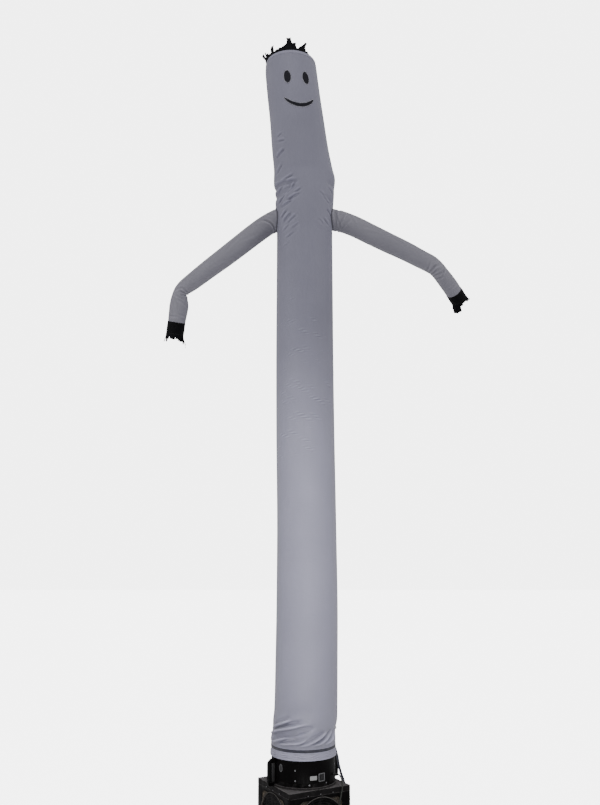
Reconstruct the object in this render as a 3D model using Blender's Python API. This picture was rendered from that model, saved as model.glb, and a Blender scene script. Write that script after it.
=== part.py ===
"""Inflatable air dancer: a nylon tube figure strapped on the drum of its blower.

Metres, +Z up. The origin is the centre of the blower's underside, on the floor.
Azimuths are degrees about +Z from +X, so -90 faces the front.
"""

import math
import random
from collections import namedtuple

import bmesh
import bpy
from mathutils import Matrix, Vector

# Driving dimensions
CLOTH = 0.0015          # nylon wall with its coating
GAP = 0.0003            # clearance between touching pieces
SEAM_GAP = 0.0009       # a sleeve's root follows a curve that the tube's facets only near
TUBE_SIDES = 40
ARM_SIDES = 18

FOOT_HEIGHT = 0.680     # lower edge of the tube's hem
HEAD_HEIGHT = 6.170     # open rim of the head
STRAP_HEIGHT = 0.743
STRAP_WIDTH = 0.020

BOX_SIDE = 0.492        # square body of the blower
BOX_TURN = 29.0         # the body is turned on the floor by this many degrees
BOX_TOP = 0.491
SHEET = 0.002           # blower sheet steel
SKIRT = 0.038           # down-turned edge of the lid
PAN_THICK = 0.006
DRUM_RADIUS = 0.231
DRUM_TOP = 0.765
RING_RADIUS = 0.2375
RING_HEIGHT = 0.013
HANDLE_REACH = 0.2875
HANDLE_WIDTH = 0.024
CORD_DIAMETER = 0.009

FACE_NORMALS = {"front": -61.0, "right": 29.0, "back": 119.0, "left": 209.0}

# The tube by height: where its axis is, and its half sizes across and front to back
Section = namedtuple("Section", "height axis_x half_width half_depth")
TUBE = (
    Section(0.680, 0.0000, 0.2378, 0.2378),
    Section(0.710, 0.0000, 0.2350, 0.2350),
    Section(0.731, 0.0000, 0.2328, 0.2328),
    Section(0.755, 0.0000, 0.2328, 0.2328),
    Section(0.785, -0.0010, 0.2355, 0.2355),
    Section(0.848, 0.0050, 0.2280, 0.2320),
    Section(0.916, 0.0135, 0.2340, 0.2340),
    Section(1.000, 0.0190, 0.2315, 0.2315),
    Section(1.300, 0.0240, 0.2305, 0.2305),
    Section(1.750, 0.0290, 0.2295, 0.2295),
    Section(2.400, 0.0260, 0.2255, 0.2275),
    Section(3.000, 0.0180, 0.2262, 0.2275),
    Section(3.800, 0.0135, 0.2262, 0.2275),
    Section(4.600, 0.0135, 0.2255, 0.2275),
    Section(4.770, 0.0120, 0.2290, 0.2290),
    Section(4.945, 0.0125, 0.2400, 0.2200),
    Section(5.033, 0.0105, 0.2475, 0.2150),
    Section(5.120, 0.0125, 0.2525, 0.2120),
    Section(5.210, 0.0035, 0.2430, 0.2200),
    Section(5.386, -0.0215, 0.2345, 0.2270),
    Section(5.655, -0.0500, 0.2255, 0.2255),
    Section(5.930, -0.0820, 0.2210, 0.2210),
    Section(6.170, -0.1010, 0.2175, 0.2175),
)

# Rings of the tube's mesh: how many steps each stretch of height takes
Stretch = namedtuple("Stretch", "top steps")
STRETCHES = (
    Stretch(0.731, 2),
    Stretch(0.755, 1),
    Stretch(0.785, 1),
    Stretch(0.960, 8),
    Stretch(1.300, 2),
    Stretch(4.550, 7),
    Stretch(4.960, 8),
    Stretch(5.300, 10),
    Stretch(6.152, 5),
    Stretch(6.170, 1),
)

# Folds pressed into the tube: a trough is deep, a ridge has a negative depth.
# slope is the rise towards a larger azimuth, in degrees from level.
Fold = namedtuple("Fold", "azimuth height reach slope width depth")
FOLDS = (
    Fold(-150, 5.028, 0.150, -2, 0.024, 0.020),
    Fold(-176, 4.975, 0.090, 0, 0.024, 0.014),
    Fold(-115, 4.892, 0.060, 16, 0.022, 0.011),
    Fold(-134, 4.845, 0.065, 8, 0.022, 0.010),
    Fold(-33, 4.905, 0.060, -12, 0.022, 0.010),
    Fold(-20, 5.040, 0.080, 4, 0.026, 0.008),
    Fold(150, 5.020, 0.140, 6, 0.026, 0.014),
    Fold(60, 4.960, 0.100, -14, 0.028, 0.008),
    Fold(-127, 4.715, 0.050, 28, 0.022, 0.008),
    Fold(-118, 4.600, 0.050, 20, 0.024, 0.006),
    Fold(-62, 4.640, 0.050, -24, 0.024, 0.006),
    Fold(-141, 5.285, 0.055, 14, 0.024, 0.006),
    Fold(-140, 0.912, 0.085, 22, 0.016, -0.006),
    Fold(-106, 0.880, 0.110, 12, 0.024, 0.011),
    Fold(-140, 0.850, 0.090, 18, 0.022, 0.009),
    Fold(-143, 0.802, 0.080, 21, 0.016, -0.005),
    Fold(-72, 0.812, 0.105, 21, 0.016, -0.006),
    Fold(-42, 0.812, 0.085, 27, 0.016, -0.006),
    Fold(-24, 0.850, 0.060, 30, 0.022, 0.008),
    Fold(30, 0.850, 0.110, -18, 0.024, 0.008),
    Fold(80, 0.830, 0.100, 20, 0.024, 0.007),
    Fold(140, 0.860, 0.120, -16, 0.024, 0.009),
)

# Sleeves from the shoulder to the rim: middle, then the size in the plane of the
# bend (across) and out of it (through)
Station = namedtuple("Station", "x y z across through")
ARM_LEFT = (
    Station(-0.224, 0.000, 4.768, 0.178, 0.178),
    Station(-0.290, 0.000, 4.733, 0.171, 0.174),
    Station(-0.385, 0.000, 4.662, 0.170, 0.171),
    Station(-0.509, 0.000, 4.560, 0.166, 0.166),
    Station(-0.632, 0.000, 4.459, 0.160, 0.160),
    Station(-0.760, 0.000, 4.357, 0.150, 0.152),
    Station(-0.880, 0.002, 4.259, 0.138, 0.145),
    Station(-0.946, 0.004, 4.207, 0.124, 0.147),
    Station(-0.984, 0.012, 4.166, 0.110, 0.150),
    Station(-0.994, 0.026, 4.117, 0.134, 0.150),
    Station(-0.998, 0.042, 4.060, 0.153, 0.150),
    Station(-1.009, 0.061, 3.992, 0.147, 0.146),
    Station(-1.021, 0.080, 3.921, 0.138, 0.138),
)
ARM_RIGHT = (
    Station(0.249, 0.000, 4.777, 0.178, 0.178),
    Station(0.330, 0.000, 4.757, 0.169, 0.172),
    Station(0.428, 0.000, 4.717, 0.166, 0.168),
    Station(0.562, 0.000, 4.647, 0.164, 0.165),
    Station(0.697, 0.000, 4.577, 0.160, 0.160),
    Station(0.830, 0.000, 4.510, 0.154, 0.154),
    Station(0.959, 0.002, 4.439, 0.145, 0.150),
    Station(1.024, 0.008, 4.406, 0.142, 0.150),
    Station(1.077, 0.028, 4.374, 0.130, 0.148),
    Station(1.120, 0.062, 4.340, 0.126, 0.145),
    Station(1.166, 0.103, 4.300, 0.132, 0.140),
    Station(1.212, 0.147, 4.258, 0.134, 0.137),
    Station(1.2535, 0.190, 4.2165, 0.132, 0.132),
)
CUFF_LENGTH = {"left": 0.096, "right": 0.080}
CUFF_LAP = 0.014
TAPE = 0.018            # height of the tape that a fringe is cut into
TAPE_PROUD = 0.001      # the tape stands this far past the rim it is sewn in
SHOULDER_HOLE = 0.080   # radius

# Fringe: how far the strips stand past the tape, by azimuth round the rim
Strip = namedtuple("Strip", "azimuth rise lean")
HAIR = (
    Strip(-180, 0.008, -0.004), Strip(-157.5, 0.046, 0.010), Strip(-148.5, 0.026, 0.004),
    Strip(-139.5, 0.078, 0.006), Strip(-130.5, 0.034, 0.002), Strip(-121.5, 0.044, 0.000),
    Strip(-112.5, 0.036, 0.002), Strip(-103.5, 0.052, 0.000), Strip(-94.5, 0.094, -0.004),
    Strip(-85.5, 0.090, -0.006), Strip(-76.5, 0.040, 0.000), Strip(-67.5, 0.048, 0.004),
    Strip(-58.5, 0.076, 0.000), Strip(-49.5, 0.008, 0.000), Strip(-31.5, 0.006, -0.004),
    Strip(0, 0.006, -0.004), Strip(40, 0.060, 0.006), Strip(90, 0.040, 0.012),
    Strip(140, 0.060, 0.000), Strip(180, 0.008, -0.004),
)

# Streamers in the cuffs: angle round the rim, length past the tape, and how far the
# end stands outward for its length
Streamer = namedtuple("Streamer", "angle length flare")
STREAMERS = {
    "left": (
        Streamer(0, 0.030, 0.10), Streamer(60, 0.040, 0.20), Streamer(95, 0.062, 0.60),
        Streamer(125, 0.024, 0.10), Streamer(180, 0.012, 0.10), Streamer(230, 0.022, 0.10),
        Streamer(265, 0.030, 0.10), Streamer(310, 0.034, 0.10),
    ),
    "right": (
        Streamer(0, 0.030, 0.10), Streamer(60, 0.016, 0.10), Streamer(95, 0.006, 0.00),
        Streamer(140, 0.026, 0.05), Streamer(190, 0.016, 0.05), Streamer(235, 0.040, 0.20),
        Streamer(270, 0.064, 0.35), Streamer(310, 0.050, 0.20),
    ),
}

# The mains lead from the gland over the lid's edge and down to the floor
LEAD_ROUTE = (
    (0.2292, -0.0945, 0.5635), (0.2400, -0.0990, 0.5635), (0.2540, -0.1050, 0.5580),
    (0.2650, -0.1130, 0.5430), (0.2705, -0.1220, 0.5260), (0.2735, -0.1330, 0.5080),
    (0.2740, -0.1410, 0.4870), (0.2700, -0.1455, 0.4650), (0.2640, -0.1500, 0.4380),
    (0.2560, -0.1545, 0.4000), (0.2535, -0.1590, 0.3400), (0.2520, -0.1625, 0.2600),
    (0.2515, -0.1640, 0.1800), (0.2520, -0.1645, 0.1150), (0.2545, -0.1640, 0.0650),
    (0.2620, -0.1620, 0.0300), (0.2705, -0.1625, 0.0125), (0.2790, -0.1665, 0.0058),
    (0.2875, -0.1740, 0.0050), (0.2980, -0.1821, 0.0050), (0.31047, -0.18846, 0.0050),
    (0.32295, -0.19481, 0.0050), (0.33542, -0.20117, 0.0050),
)
COIL_CENTRE = (0.3920, -0.2300)
COIL_RADIUS = 0.0500    # at the middle of the turns

# The loose end of the strap, hanging outside the drum and past the lid
TAIL_ROUTE = (
    (0.22849, 0.05486, 0.7560), (0.22849, 0.05486, 0.7330), (0.2345, 0.0575, 0.7000),
    (0.2420, 0.0595, 0.6700), (0.2500, 0.0600, 0.6400), (0.2560, 0.0600, 0.6000),
    (0.2660, 0.0600, 0.5600), (0.2780, 0.0600, 0.5200), (0.2920, 0.0610, 0.4830),
    (0.2985, 0.0625, 0.4500), (0.3000, 0.0640, 0.4150),
)
TAIL_SIZE = (0.014, 0.0016)


def clear_scene():
    for old in list(bpy.data.objects):
        bpy.data.objects.remove(old, do_unlink=True)


def make_material(name, colour, roughness, metallic=0.0):
    made = bpy.data.materials.new(name)
    made.use_nodes = True
    shader = made.node_tree.nodes["Principled BSDF"]
    shader.inputs["Base Color"].default_value = (*colour, 1.0)
    shader.inputs["Roughness"].default_value = roughness
    shader.inputs["Metallic"].default_value = metallic
    return made


def make_object(name, points, faces, material):
    """One mesh object; points are world positions."""
    mesh = bpy.data.meshes.new(name)
    mesh.from_pydata([tuple(p) for p in points], [], faces)
    mesh.validate()
    made = bpy.data.objects.new(name, mesh)
    made.data.materials.append(material)
    bpy.context.scene.collection.objects.link(made)
    return made


def smooth_object(made, angle=40.0):
    made.data.shade_smooth()
    made.data.set_sharp_from_angle(angle=math.radians(angle))


def as_cutter(made):
    made.hide_render = True
    made.display_type = "WIRE"


def cut(target, cutter):
    as_cutter(cutter)
    boolean = target.modifiers.new("cut", "BOOLEAN")
    boolean.object = cutter
    boolean.operation = "DIFFERENCE"


def tube_wall(name, outer, inner, material):
    """A closed wall from matching lists of rings, each ring counted anticlockwise
    about the direction in which the rings follow each other."""
    sides = len(outer[0])
    points = [p for ring in outer for p in ring] + [p for ring in inner for p in ring]
    start = len(outer) * sides
    last = len(outer) - 1
    faces = []
    for row in range(last):
        for i in range(sides):
            j = (i + 1) % sides
            a, b = row * sides, (row + 1) * sides
            faces.append((a + i, a + j, b + j, b + i))
            faces.append((start + a + j, start + a + i, start + b + i, start + b + j))
    top = last * sides
    for i in range(sides):
        j = (i + 1) % sides
        faces.append((j, i, start + i, start + j))
        faces.append((top + i, top + j, start + top + j, start + top + i))
    return make_object(name, points, faces, material)


def loft(name, rings, material):
    """A closed solid from rings, with flat ends."""
    sides = len(rings[0])
    points = [p for ring in rings for p in ring]
    faces = [tuple(reversed(range(sides)))]
    for row in range(len(rings) - 1):
        for i in range(sides):
            j = (i + 1) % sides
            a, b = row * sides, (row + 1) * sides
            faces.append((a + i, a + j, b + j, b + i))
    top = (len(rings) - 1) * sides
    faces.append(tuple(range(top, top + sides)))
    return make_object(name, points, faces, material)


def along_table(rows, value, column):
    """A smooth reading of one column at a value of the rows' first column."""
    keys = [row[0] for row in rows]
    if value <= keys[0]:
        return getattr(rows[0], column)
    if value >= keys[-1]:
        return getattr(rows[-1], column)
    k = max(i for i, key in enumerate(keys) if key <= value)
    span = keys[k + 1] - keys[k]
    t = (value - keys[k]) / span
    near = [getattr(rows[max(0, min(len(rows) - 1, k + d))], column) for d in (-1, 0, 1, 2)]
    edge = [keys[max(0, min(len(rows) - 1, k + d))] for d in (-1, 0, 1, 2)]
    rise_a = (near[2] - near[0]) / (edge[2] - edge[0]) * span
    rise_b = (near[3] - near[1]) / (edge[3] - edge[1]) * span
    if (near[1] - near[0]) * (near[2] - near[1]) <= 0:
        rise_a = 0.0
    if (near[2] - near[1]) * (near[3] - near[2]) <= 0:
        rise_b = 0.0
    return ((2 * t**3 - 3 * t**2 + 1) * near[1] + (t**3 - 2 * t**2 + t) * rise_a
            + (3 * t**2 - 2 * t**3) * near[2] + (t**3 - t**2) * rise_b)


def turn_between(a, b):
    """Azimuth a less azimuth b, within half a turn."""
    return (a - b + 180.0) % 360.0 - 180.0


def fold_depth(azimuth, height):
    """How far the folds press the tube in at a point."""
    depth = 0.0
    for fold in FOLDS:
        sideways = math.radians(turn_between(azimuth, fold.azimuth)) * DRUM_RADIUS
        upward = height - fold.height
        slope = math.radians(fold.slope)
        run = sideways * math.cos(slope) + upward * math.sin(slope)
        off = upward * math.cos(slope) - sideways * math.sin(slope)
        depth += fold.depth * math.exp(-(off / fold.width) ** 2 - (run / fold.reach) ** 4)
    clear_of_drum = max(0.0, min(1.0, (height - DRUM_TOP - 0.005) / 0.020))
    return depth * clear_of_drum


def tube_radius(azimuth, height):
    """Outer radius of the tube about its axis."""
    across = along_table(TUBE, height, "half_width")
    front = along_table(TUBE, height, "half_depth")
    angle = math.radians(azimuth)
    ellipse = across * front / math.hypot(front * math.cos(angle), across * math.sin(angle))
    return ellipse - fold_depth(azimuth, height)


def on_tube(azimuth, height, lift=0.0):
    radius = tube_radius(azimuth, height) + lift
    angle = math.radians(azimuth)
    axis = along_table(TUBE, height, "axis_x")
    return Vector((axis + radius * math.cos(angle), radius * math.sin(angle), height))


def tube_heights():
    heights = [FOOT_HEIGHT]
    for stretch in STRETCHES:
        low = heights[-1]
        step = (stretch.top - low) / stretch.steps
        heights += [low + step * (k + 1) for k in range(stretch.steps)]
    return heights


def tube_ring(height, lift=0.0):
    return [on_tube(-90.0 + 360.0 * i / TUBE_SIDES, height, lift) for i in range(TUBE_SIDES)]


def frame_at(stations, k):
    """Direction of a sleeve at a station, and its two section axes."""
    before = Vector(stations[max(0, k - 1)][:3])
    after = Vector(stations[min(len(stations) - 1, k + 1)][:3])
    forward = (after - before).normalized()
    through = Vector((0.0, 1.0, 0.0))
    through = (through - forward * through.dot(forward)).normalized()
    return forward, through, forward.cross(through)


def oval_ring(centre, frame, across, through, sides):
    """Points anticlockwise about the frame's direction."""
    ring = []
    for i in range(sides):
        angle = 2.0 * math.pi * i / sides
        ring.append(Vector(centre) + frame[1] * (math.cos(angle) * through)
                    + frame[2] * (math.sin(angle) * across))
    return ring


def outside_tube(point):
    """Distance of a point outside the tube's surface, level with it."""
    axis = along_table(TUBE, point.z, "axis_x")
    azimuth = math.degrees(math.atan2(point.y, point.x - axis))
    return math.hypot(point.x - axis, point.y) - tube_radius(azimuth, point.z)


def meet_tube(point, forward):
    """Slides a point along a sleeve's direction until it lies on the tube."""
    low, high = -0.15, 0.15
    for _ in range(40):
        middle = 0.5 * (low + high)
        if outside_tube(point + forward * middle) > SEAM_GAP:
            high = middle
        else:
            low = middle
    return point + forward * high


def make_sleeve(name, stations, material):
    outer, inner = [], []
    for k, station in enumerate(stations):
        frame = frame_at(stations, k)
        for rings, wall in ((outer, 0.0), (inner, CLOTH)):
            rings.append(oval_ring(station[:3], frame, station.across / 2 - wall,
                                   station.through / 2 - wall, ARM_SIDES))
    for rings in (outer, inner):
        forward = frame_at(stations, 0)[0]
        rings[0] = [meet_tube(p, forward) for p in rings[0]]
    made = tube_wall(name, outer, inner, material)
    smooth_object(made, 60.0)
    return made


def shoulder_cutter(name, stations):
    forward, through, across = frame_at(stations, 0)
    frame = (forward, through, across)
    middle = Vector(stations[0][:3])
    ends = [oval_ring(middle + forward * d, frame, SHOULDER_HOLE, SHOULDER_HOLE, 20)
            for d in (-0.10, 0.10)]
    made = loft(name, ends, bpy.data.materials["nylon"])
    as_cutter(made)
    return made


def cuff_frame(stations):
    """The sleeve's last stretch, which the cuff carries on in a straight line."""
    end = Vector(stations[-1][:3])
    forward = (end - Vector(stations[-2][:3])).normalized()
    through = Vector((0.0, 1.0, 0.0))
    through = (through - forward * through.dot(forward)).normalized()
    return end, (forward, through, forward.cross(through))


def make_cuff(side, stations, material):
    """A band lapped over the sleeve's end; returns the ring that its tape fits."""
    end, frame = cuff_frame(stations)
    last, before = stations[-1], stations[-2]
    taper = max(before.across, before.through) / 2 - last.across / 2
    lap_share = CUFF_LAP / (end - Vector(before[:3])).length
    radius = last.across / 2 + GAP + CLOTH
    mouth = radius + taper * lap_share + GAP
    length = CUFF_LENGTH[side]
    outer, inner = [], []
    for run, size in ((-CUFF_LAP, mouth), (0.0, radius), (length - TAPE, radius),
                      (length, radius)):
        middle = end + frame[0] * run
        outer.append(oval_ring(middle, frame, size, size, ARM_SIDES))
        inner.append(oval_ring(middle, frame, size - CLOTH, size - CLOTH, ARM_SIDES))
    made = tube_wall("cuff_" + side, outer, inner, material)
    smooth_object(made, 60.0)
    return end + frame[0] * length, frame, radius - CLOTH - GAP


def make_fringe(name, outer, inner, strip_path, material):
    """A tape between two rings whose end face is cut into strips. strip_path gives
    the middle of a strip after each step, from its root, or nothing for a notch."""
    sides = len(outer[0])
    points = [p for ring in (outer[0], outer[1], inner[0], inner[1]) for p in ring]
    faces = []
    for i in range(sides):
        j = (i + 1) % sides
        o0, o1, n0, n1 = 0, sides, 2 * sides, 3 * sides
        faces.append((o0 + i, o0 + j, o1 + j, o1 + i))
        faces.append((n0 + j, n0 + i, n1 + i, n1 + j))
        faces.append((o0 + j, o0 + i, n0 + i, n0 + j))
        root = [o1 + i, o1 + j, n1 + j, n1 + i]
        corners = [points[k] for k in root]
        middle = sum(corners, Vector()) / 4
        widths = (0.78, 0.44)
        for offset, width in zip(strip_path(i), widths):
            thin = [points[root[3]] - points[root[0]], points[root[2]] - points[root[1]]]
            half = [t.normalized() * (CLOTH / 2) for t in thin]
            start = middle + (0.5 * (corners[0] + corners[3]) - middle) * width + offset
            stop = middle + (0.5 * (corners[1] + corners[2]) - middle) * width + offset
            first = len(points)
            points += [start - half[0], stop - half[1], stop + half[1], start + half[0]]
            fresh = [first, first + 1, first + 2, first + 3]
            for a in range(4):
                b = (a + 1) % 4
                faces.append((root[a], root[b], fresh[b], fresh[a]))
            root = fresh
        faces.append(tuple(root))
    return make_object(name, points, faces, material)


def make_cuff_fringe(side, stations, material, seed):
    end, frame, radius = make_cuff(side, stations, material)
    outer, inner = [], []
    for run in (-TAPE, TAPE_PROUD):
        middle = end + frame[0] * run
        outer.append(oval_ring(middle, frame, radius, radius, ARM_SIDES))
        inner.append(oval_ring(middle, frame, radius - CLOTH, radius - CLOTH, ARM_SIDES))
    dice = random.Random(seed)
    jitter = [dice.uniform(0.86, 1.14) for _ in range(ARM_SIDES)]

    def strip_path(i):
        degrees = 360.0 * (i + 0.5) / ARM_SIDES
        angle = math.radians(degrees)
        near = min(STREAMERS[side], key=lambda row: abs(turn_between(degrees, row.angle)))
        outward = frame[1] * math.cos(angle) + frame[2] * math.sin(angle)
        steps = []
        for part in (0.50, 1.00):
            run = near.length * jitter[i] * part
            sag = Vector((0.0, 0.0, -0.25 * run * part))
            steps.append(frame[0] * run + outward * (near.flare * run * part) + sag)
        return steps

    return make_fringe("fringe_" + side, outer, inner, strip_path, material)


def make_hair(material):
    inside = CLOTH + GAP
    heights = (HEAD_HEIGHT - TAPE, HEAD_HEIGHT + TAPE_PROUD)
    outer = [tube_ring(h, -inside) for h in heights]
    inner = [tube_ring(h, -inside - CLOTH) for h in heights]
    dice = random.Random(7)
    jitter = [dice.uniform(0.92, 1.08) for _ in range(TUBE_SIDES)]

    def strip_path(i):
        azimuth = turn_between(-90.0 + 360.0 * (i + 0.5) / TUBE_SIDES, 0.0)
        behind = [s for s in HAIR if s.azimuth <= azimuth][-1]
        ahead = [s for s in HAIR if s.azimuth > azimuth][0]
        t = (azimuth - behind.azimuth) / (ahead.azimuth - behind.azimuth)
        near = behind if t < 0.5 else ahead
        rise = near.rise * jitter[i]
        angle = math.radians(azimuth)
        outward = Vector((math.cos(angle), math.sin(angle), 0.0))
        steps = []
        for part in (0.50, 1.00):
            lean = near.lean * part**2
            steps.append(Vector((0.0, 0.0, rise * part)) + outward * lean)
        return steps

    return make_fringe("hair_fringe", outer, inner, strip_path, material)


def make_patch(name, outline, rows, material):
    """A cloth shape sewn on the head: outline(t) gives its lower and upper edge as
    (azimuth, height) pairs for t from 0 to 1."""
    thick = 0.001
    levels = []
    for lift in (GAP, GAP + thick):
        grid = []
        for k in range(rows + 1):
            low, high = outline(k / rows)
            grid.append([on_tube(low[0] + (high[0] - low[0]) * s,
                                 low[1] + (high[1] - low[1]) * s, lift)
                         for s in (0.0, 1 / 3, 2 / 3, 1.0)])
        levels.append(grid)
    across = 4
    points = [p for grid in levels for row in grid for p in row]
    back = 0
    front = (rows + 1) * across
    faces = []
    for k in range(rows):
        for s in range(across - 1):
            a = k * across + s
            faces.append((front + a, front + a + across, front + a + across + 1, front + a + 1))
            faces.append((back + a + across, back + a, back + a + 1, back + a + across + 1))
        low, high = k * across, k * across + across - 1
        faces.append((back + low, back + low + across, front + low + across, front + low))
        faces.append((back + high + across, back + high, front + high, front + high + across))
    for s in range(across - 1):
        a, b = s, rows * across + s
        faces.append((back + a + 1, back + a, front + a, front + a + 1))
        faces.append((back + b, back + b + 1, front + b + 1, front + b))
    return make_object(name, points, faces, material)


FACE_AZIMUTH = -82.0


def make_face(material):
    """Two upright ovals and a curved band: a plain cheerful face."""
    eye_turn, eye_height = 20.0, 5.925
    eye_half_turn, eye_half_height = 8.0, 0.058
    for name, side in (("eye_left", -1.0), ("eye_right", 1.0)):
        middle = FACE_AZIMUTH + side * eye_turn

        def oval(t, middle=middle):
            spread = math.sqrt(max(0.0, 1.0 - (2.0 * t - 1.0) ** 2))
            spread = max(spread, 0.30)
            azimuth = middle + eye_half_turn * (2.0 * t - 1.0)
            return ((azimuth, eye_height - eye_half_height * spread),
                    (azimuth, eye_height + eye_half_height * spread))

        make_patch(name, oval, 12, material)

    smile_height, smile_half_turn, smile_sag, smile_half_width = 5.745, 33.0, 0.075, 0.019

    def band(t):
        u = 2.0 * t - 1.0
        azimuth = FACE_AZIMUTH + smile_half_turn * u
        middle = smile_height - smile_sag * (1.0 - u * u)
        half = smile_half_width * (0.45 + 0.55 * math.sqrt(max(0.0, 1.0 - u**4)))
        return ((azimuth, middle - half), (azimuth, middle + half))

    make_patch("smile", band, 20, material)


def make_dancer(nylon, black, charcoal, webbing):
    heights = tube_heights()
    body = tube_wall("body_tube", [tube_ring(h) for h in heights],
                     [tube_ring(h, -CLOTH) for h in heights], nylon)
    for side, stations in (("left", ARM_LEFT), ("right", ARM_RIGHT)):
        cut(body, shoulder_cutter("shoulder_cutter_" + side, stations))
        make_sleeve("arm_" + side, stations, nylon)
        make_cuff_fringe(side, stations, black, 11 if side == "left" else 23)
    smooth_object(body, 60.0)
    make_hair(black)
    make_face(charcoal)

    low, high = STRAP_HEIGHT - STRAP_WIDTH / 2, STRAP_HEIGHT + STRAP_WIDTH / 2
    strap = tube_wall("strap", [tube_ring(h, GAP + CLOTH) for h in (low, high)],
                      [tube_ring(h, GAP) for h in (low, high)], webbing)
    smooth_object(strap)
    make_strap_tail(webbing)


def make_strap_tail(material):
    width, thick = TAIL_SIZE
    rings = []
    for k, point in enumerate(TAIL_ROUTE):
        before = Vector(TAIL_ROUTE[max(0, k - 1)])
        after = Vector(TAIL_ROUTE[min(len(TAIL_ROUTE) - 1, k + 1)])
        forward = (after - before).normalized()
        outward = Vector((point[0], point[1], 0.0)).normalized()
        level = Vector((-outward.y, outward.x, 0.0))
        flat = level.cross(forward).normalized()
        middle = Vector(point)
        rings.append([middle + level * a * width / 2 + flat * b * thick / 2
                      for a, b in ((-1, -1), (1, -1), (1, 1), (-1, 1))])
    made = loft("strap_tail", rings, material)
    fix_normals(made)


def fix_normals(made):
    shape = bmesh.new()
    shape.from_mesh(made.data)
    bmesh.ops.recalc_face_normals(shape, faces=shape.faces)
    shape.to_mesh(made.data)
    shape.free()


def box_turn():
    return Matrix.Rotation(math.radians(BOX_TURN), 4, "Z")


def make_block(name, low, high, material, turn):
    """A cuboid between two corners, then turned into the blower's place."""
    (x0, y0, z0), (x1, y1, z1) = low, high
    points = [turn @ Vector(p) for p in (
        (x0, y0, z0), (x1, y0, z0), (x1, y1, z0), (x0, y1, z0),
        (x0, y0, z1), (x1, y0, z1), (x1, y1, z1), (x0, y1, z1))]
    faces = [(3, 2, 1, 0), (4, 5, 6, 7), (0, 1, 5, 4), (1, 2, 6, 5), (2, 3, 7, 6), (3, 0, 4, 7)]
    return make_object(name, points, faces, material)


def circle_ring(radius, height, sides):
    """A regular ring whose corners face the same ways as the tube's."""
    ring = []
    for i in range(sides):
        angle = math.radians(-90.0 + 360.0 * i / sides)
        ring.append(Vector((radius * math.cos(angle), radius * math.sin(angle), height)))
    return ring


def hoop(name, radius, wall, low, high, material, sides=TUBE_SIDES):
    made = tube_wall(name, [circle_ring(radius, h, sides) for h in (low, high)],
                     [circle_ring(radius - wall, h, sides) for h in (low, high)], material)
    smooth_object(made)
    return made


def cylinder(name, place, direction, radius, length, material, sides=16, tip=None):
    """A turned solid from place along direction; tip is its far radius."""
    forward = Vector(direction).normalized()
    side = forward.orthogonal().normalized()
    frame = (forward, side, forward.cross(side))
    far = radius if tip is None else tip
    rings = [oval_ring(place, frame, radius, radius, sides),
             oval_ring(Vector(place) + forward * length, frame, far, far, sides)]
    made = loft(name, rings, material)
    smooth_object(made)
    return made


def face_frame(normal_azimuth):
    """Outward, sideways and up for one side of the blower."""
    angle = math.radians(normal_azimuth)
    outward = Vector((math.cos(angle), math.sin(angle), 0.0))
    return outward, Vector((-outward.y, outward.x, 0.0)), Vector((0.0, 0.0, 1.0))


PANEL_OUT = BOX_SIDE / 2 - SHEET - GAP
WINDOW_HALF_WIDTH = 0.178
WINDOW_LOW = 0.062
WINDOW_HIGH = 0.432
WINDOW_CORNER = 0.050
GUARD_HEIGHT = 0.247


def window_outline():
    """A rounded rectangle, sideways and up."""
    outline = []
    half, corner = WINDOW_HALF_WIDTH, WINDOW_CORNER
    middles = ((half - corner, WINDOW_LOW + corner, -90.0),
               (half - corner, WINDOW_HIGH - corner, 0.0),
               (corner - half, WINDOW_HIGH - corner, 90.0),
               (corner - half, WINDOW_LOW + corner, 180.0))
    for middle_x, middle_z, first in middles:
        for k in range(4):
            angle = math.radians(first + 30.0 * k)
            outline.append((middle_x + corner * math.cos(angle),
                            middle_z + corner * math.sin(angle)))
    return outline


def make_side_panel(side, material):
    outward, sideways, up = face_frame(FACE_NORMALS[side])
    half = PANEL_OUT if side in ("front", "back") else PANEL_OUT - SHEET - GAP
    low, high = PAN_THICK + GAP, BOX_TOP - SHEET - GAP
    rings = []
    for depth in (PANEL_OUT - SHEET, PANEL_OUT):
        rings.append([outward * depth + sideways * s + up * h
                      for s, h in ((-half, low), (half, low), (half, high), (-half, high))])
    panel = loft("side_panel_" + side, rings, material)
    hole = []
    for depth in (PANEL_OUT - 0.02, PANEL_OUT + 0.02):
        hole.append([outward * depth + sideways * s + up * h for s, h in window_outline()])
    fix_normals(panel)
    cutter = loft("window_cutter_" + side, hole, material)
    fix_normals(cutter)
    cut(panel, cutter)


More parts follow.
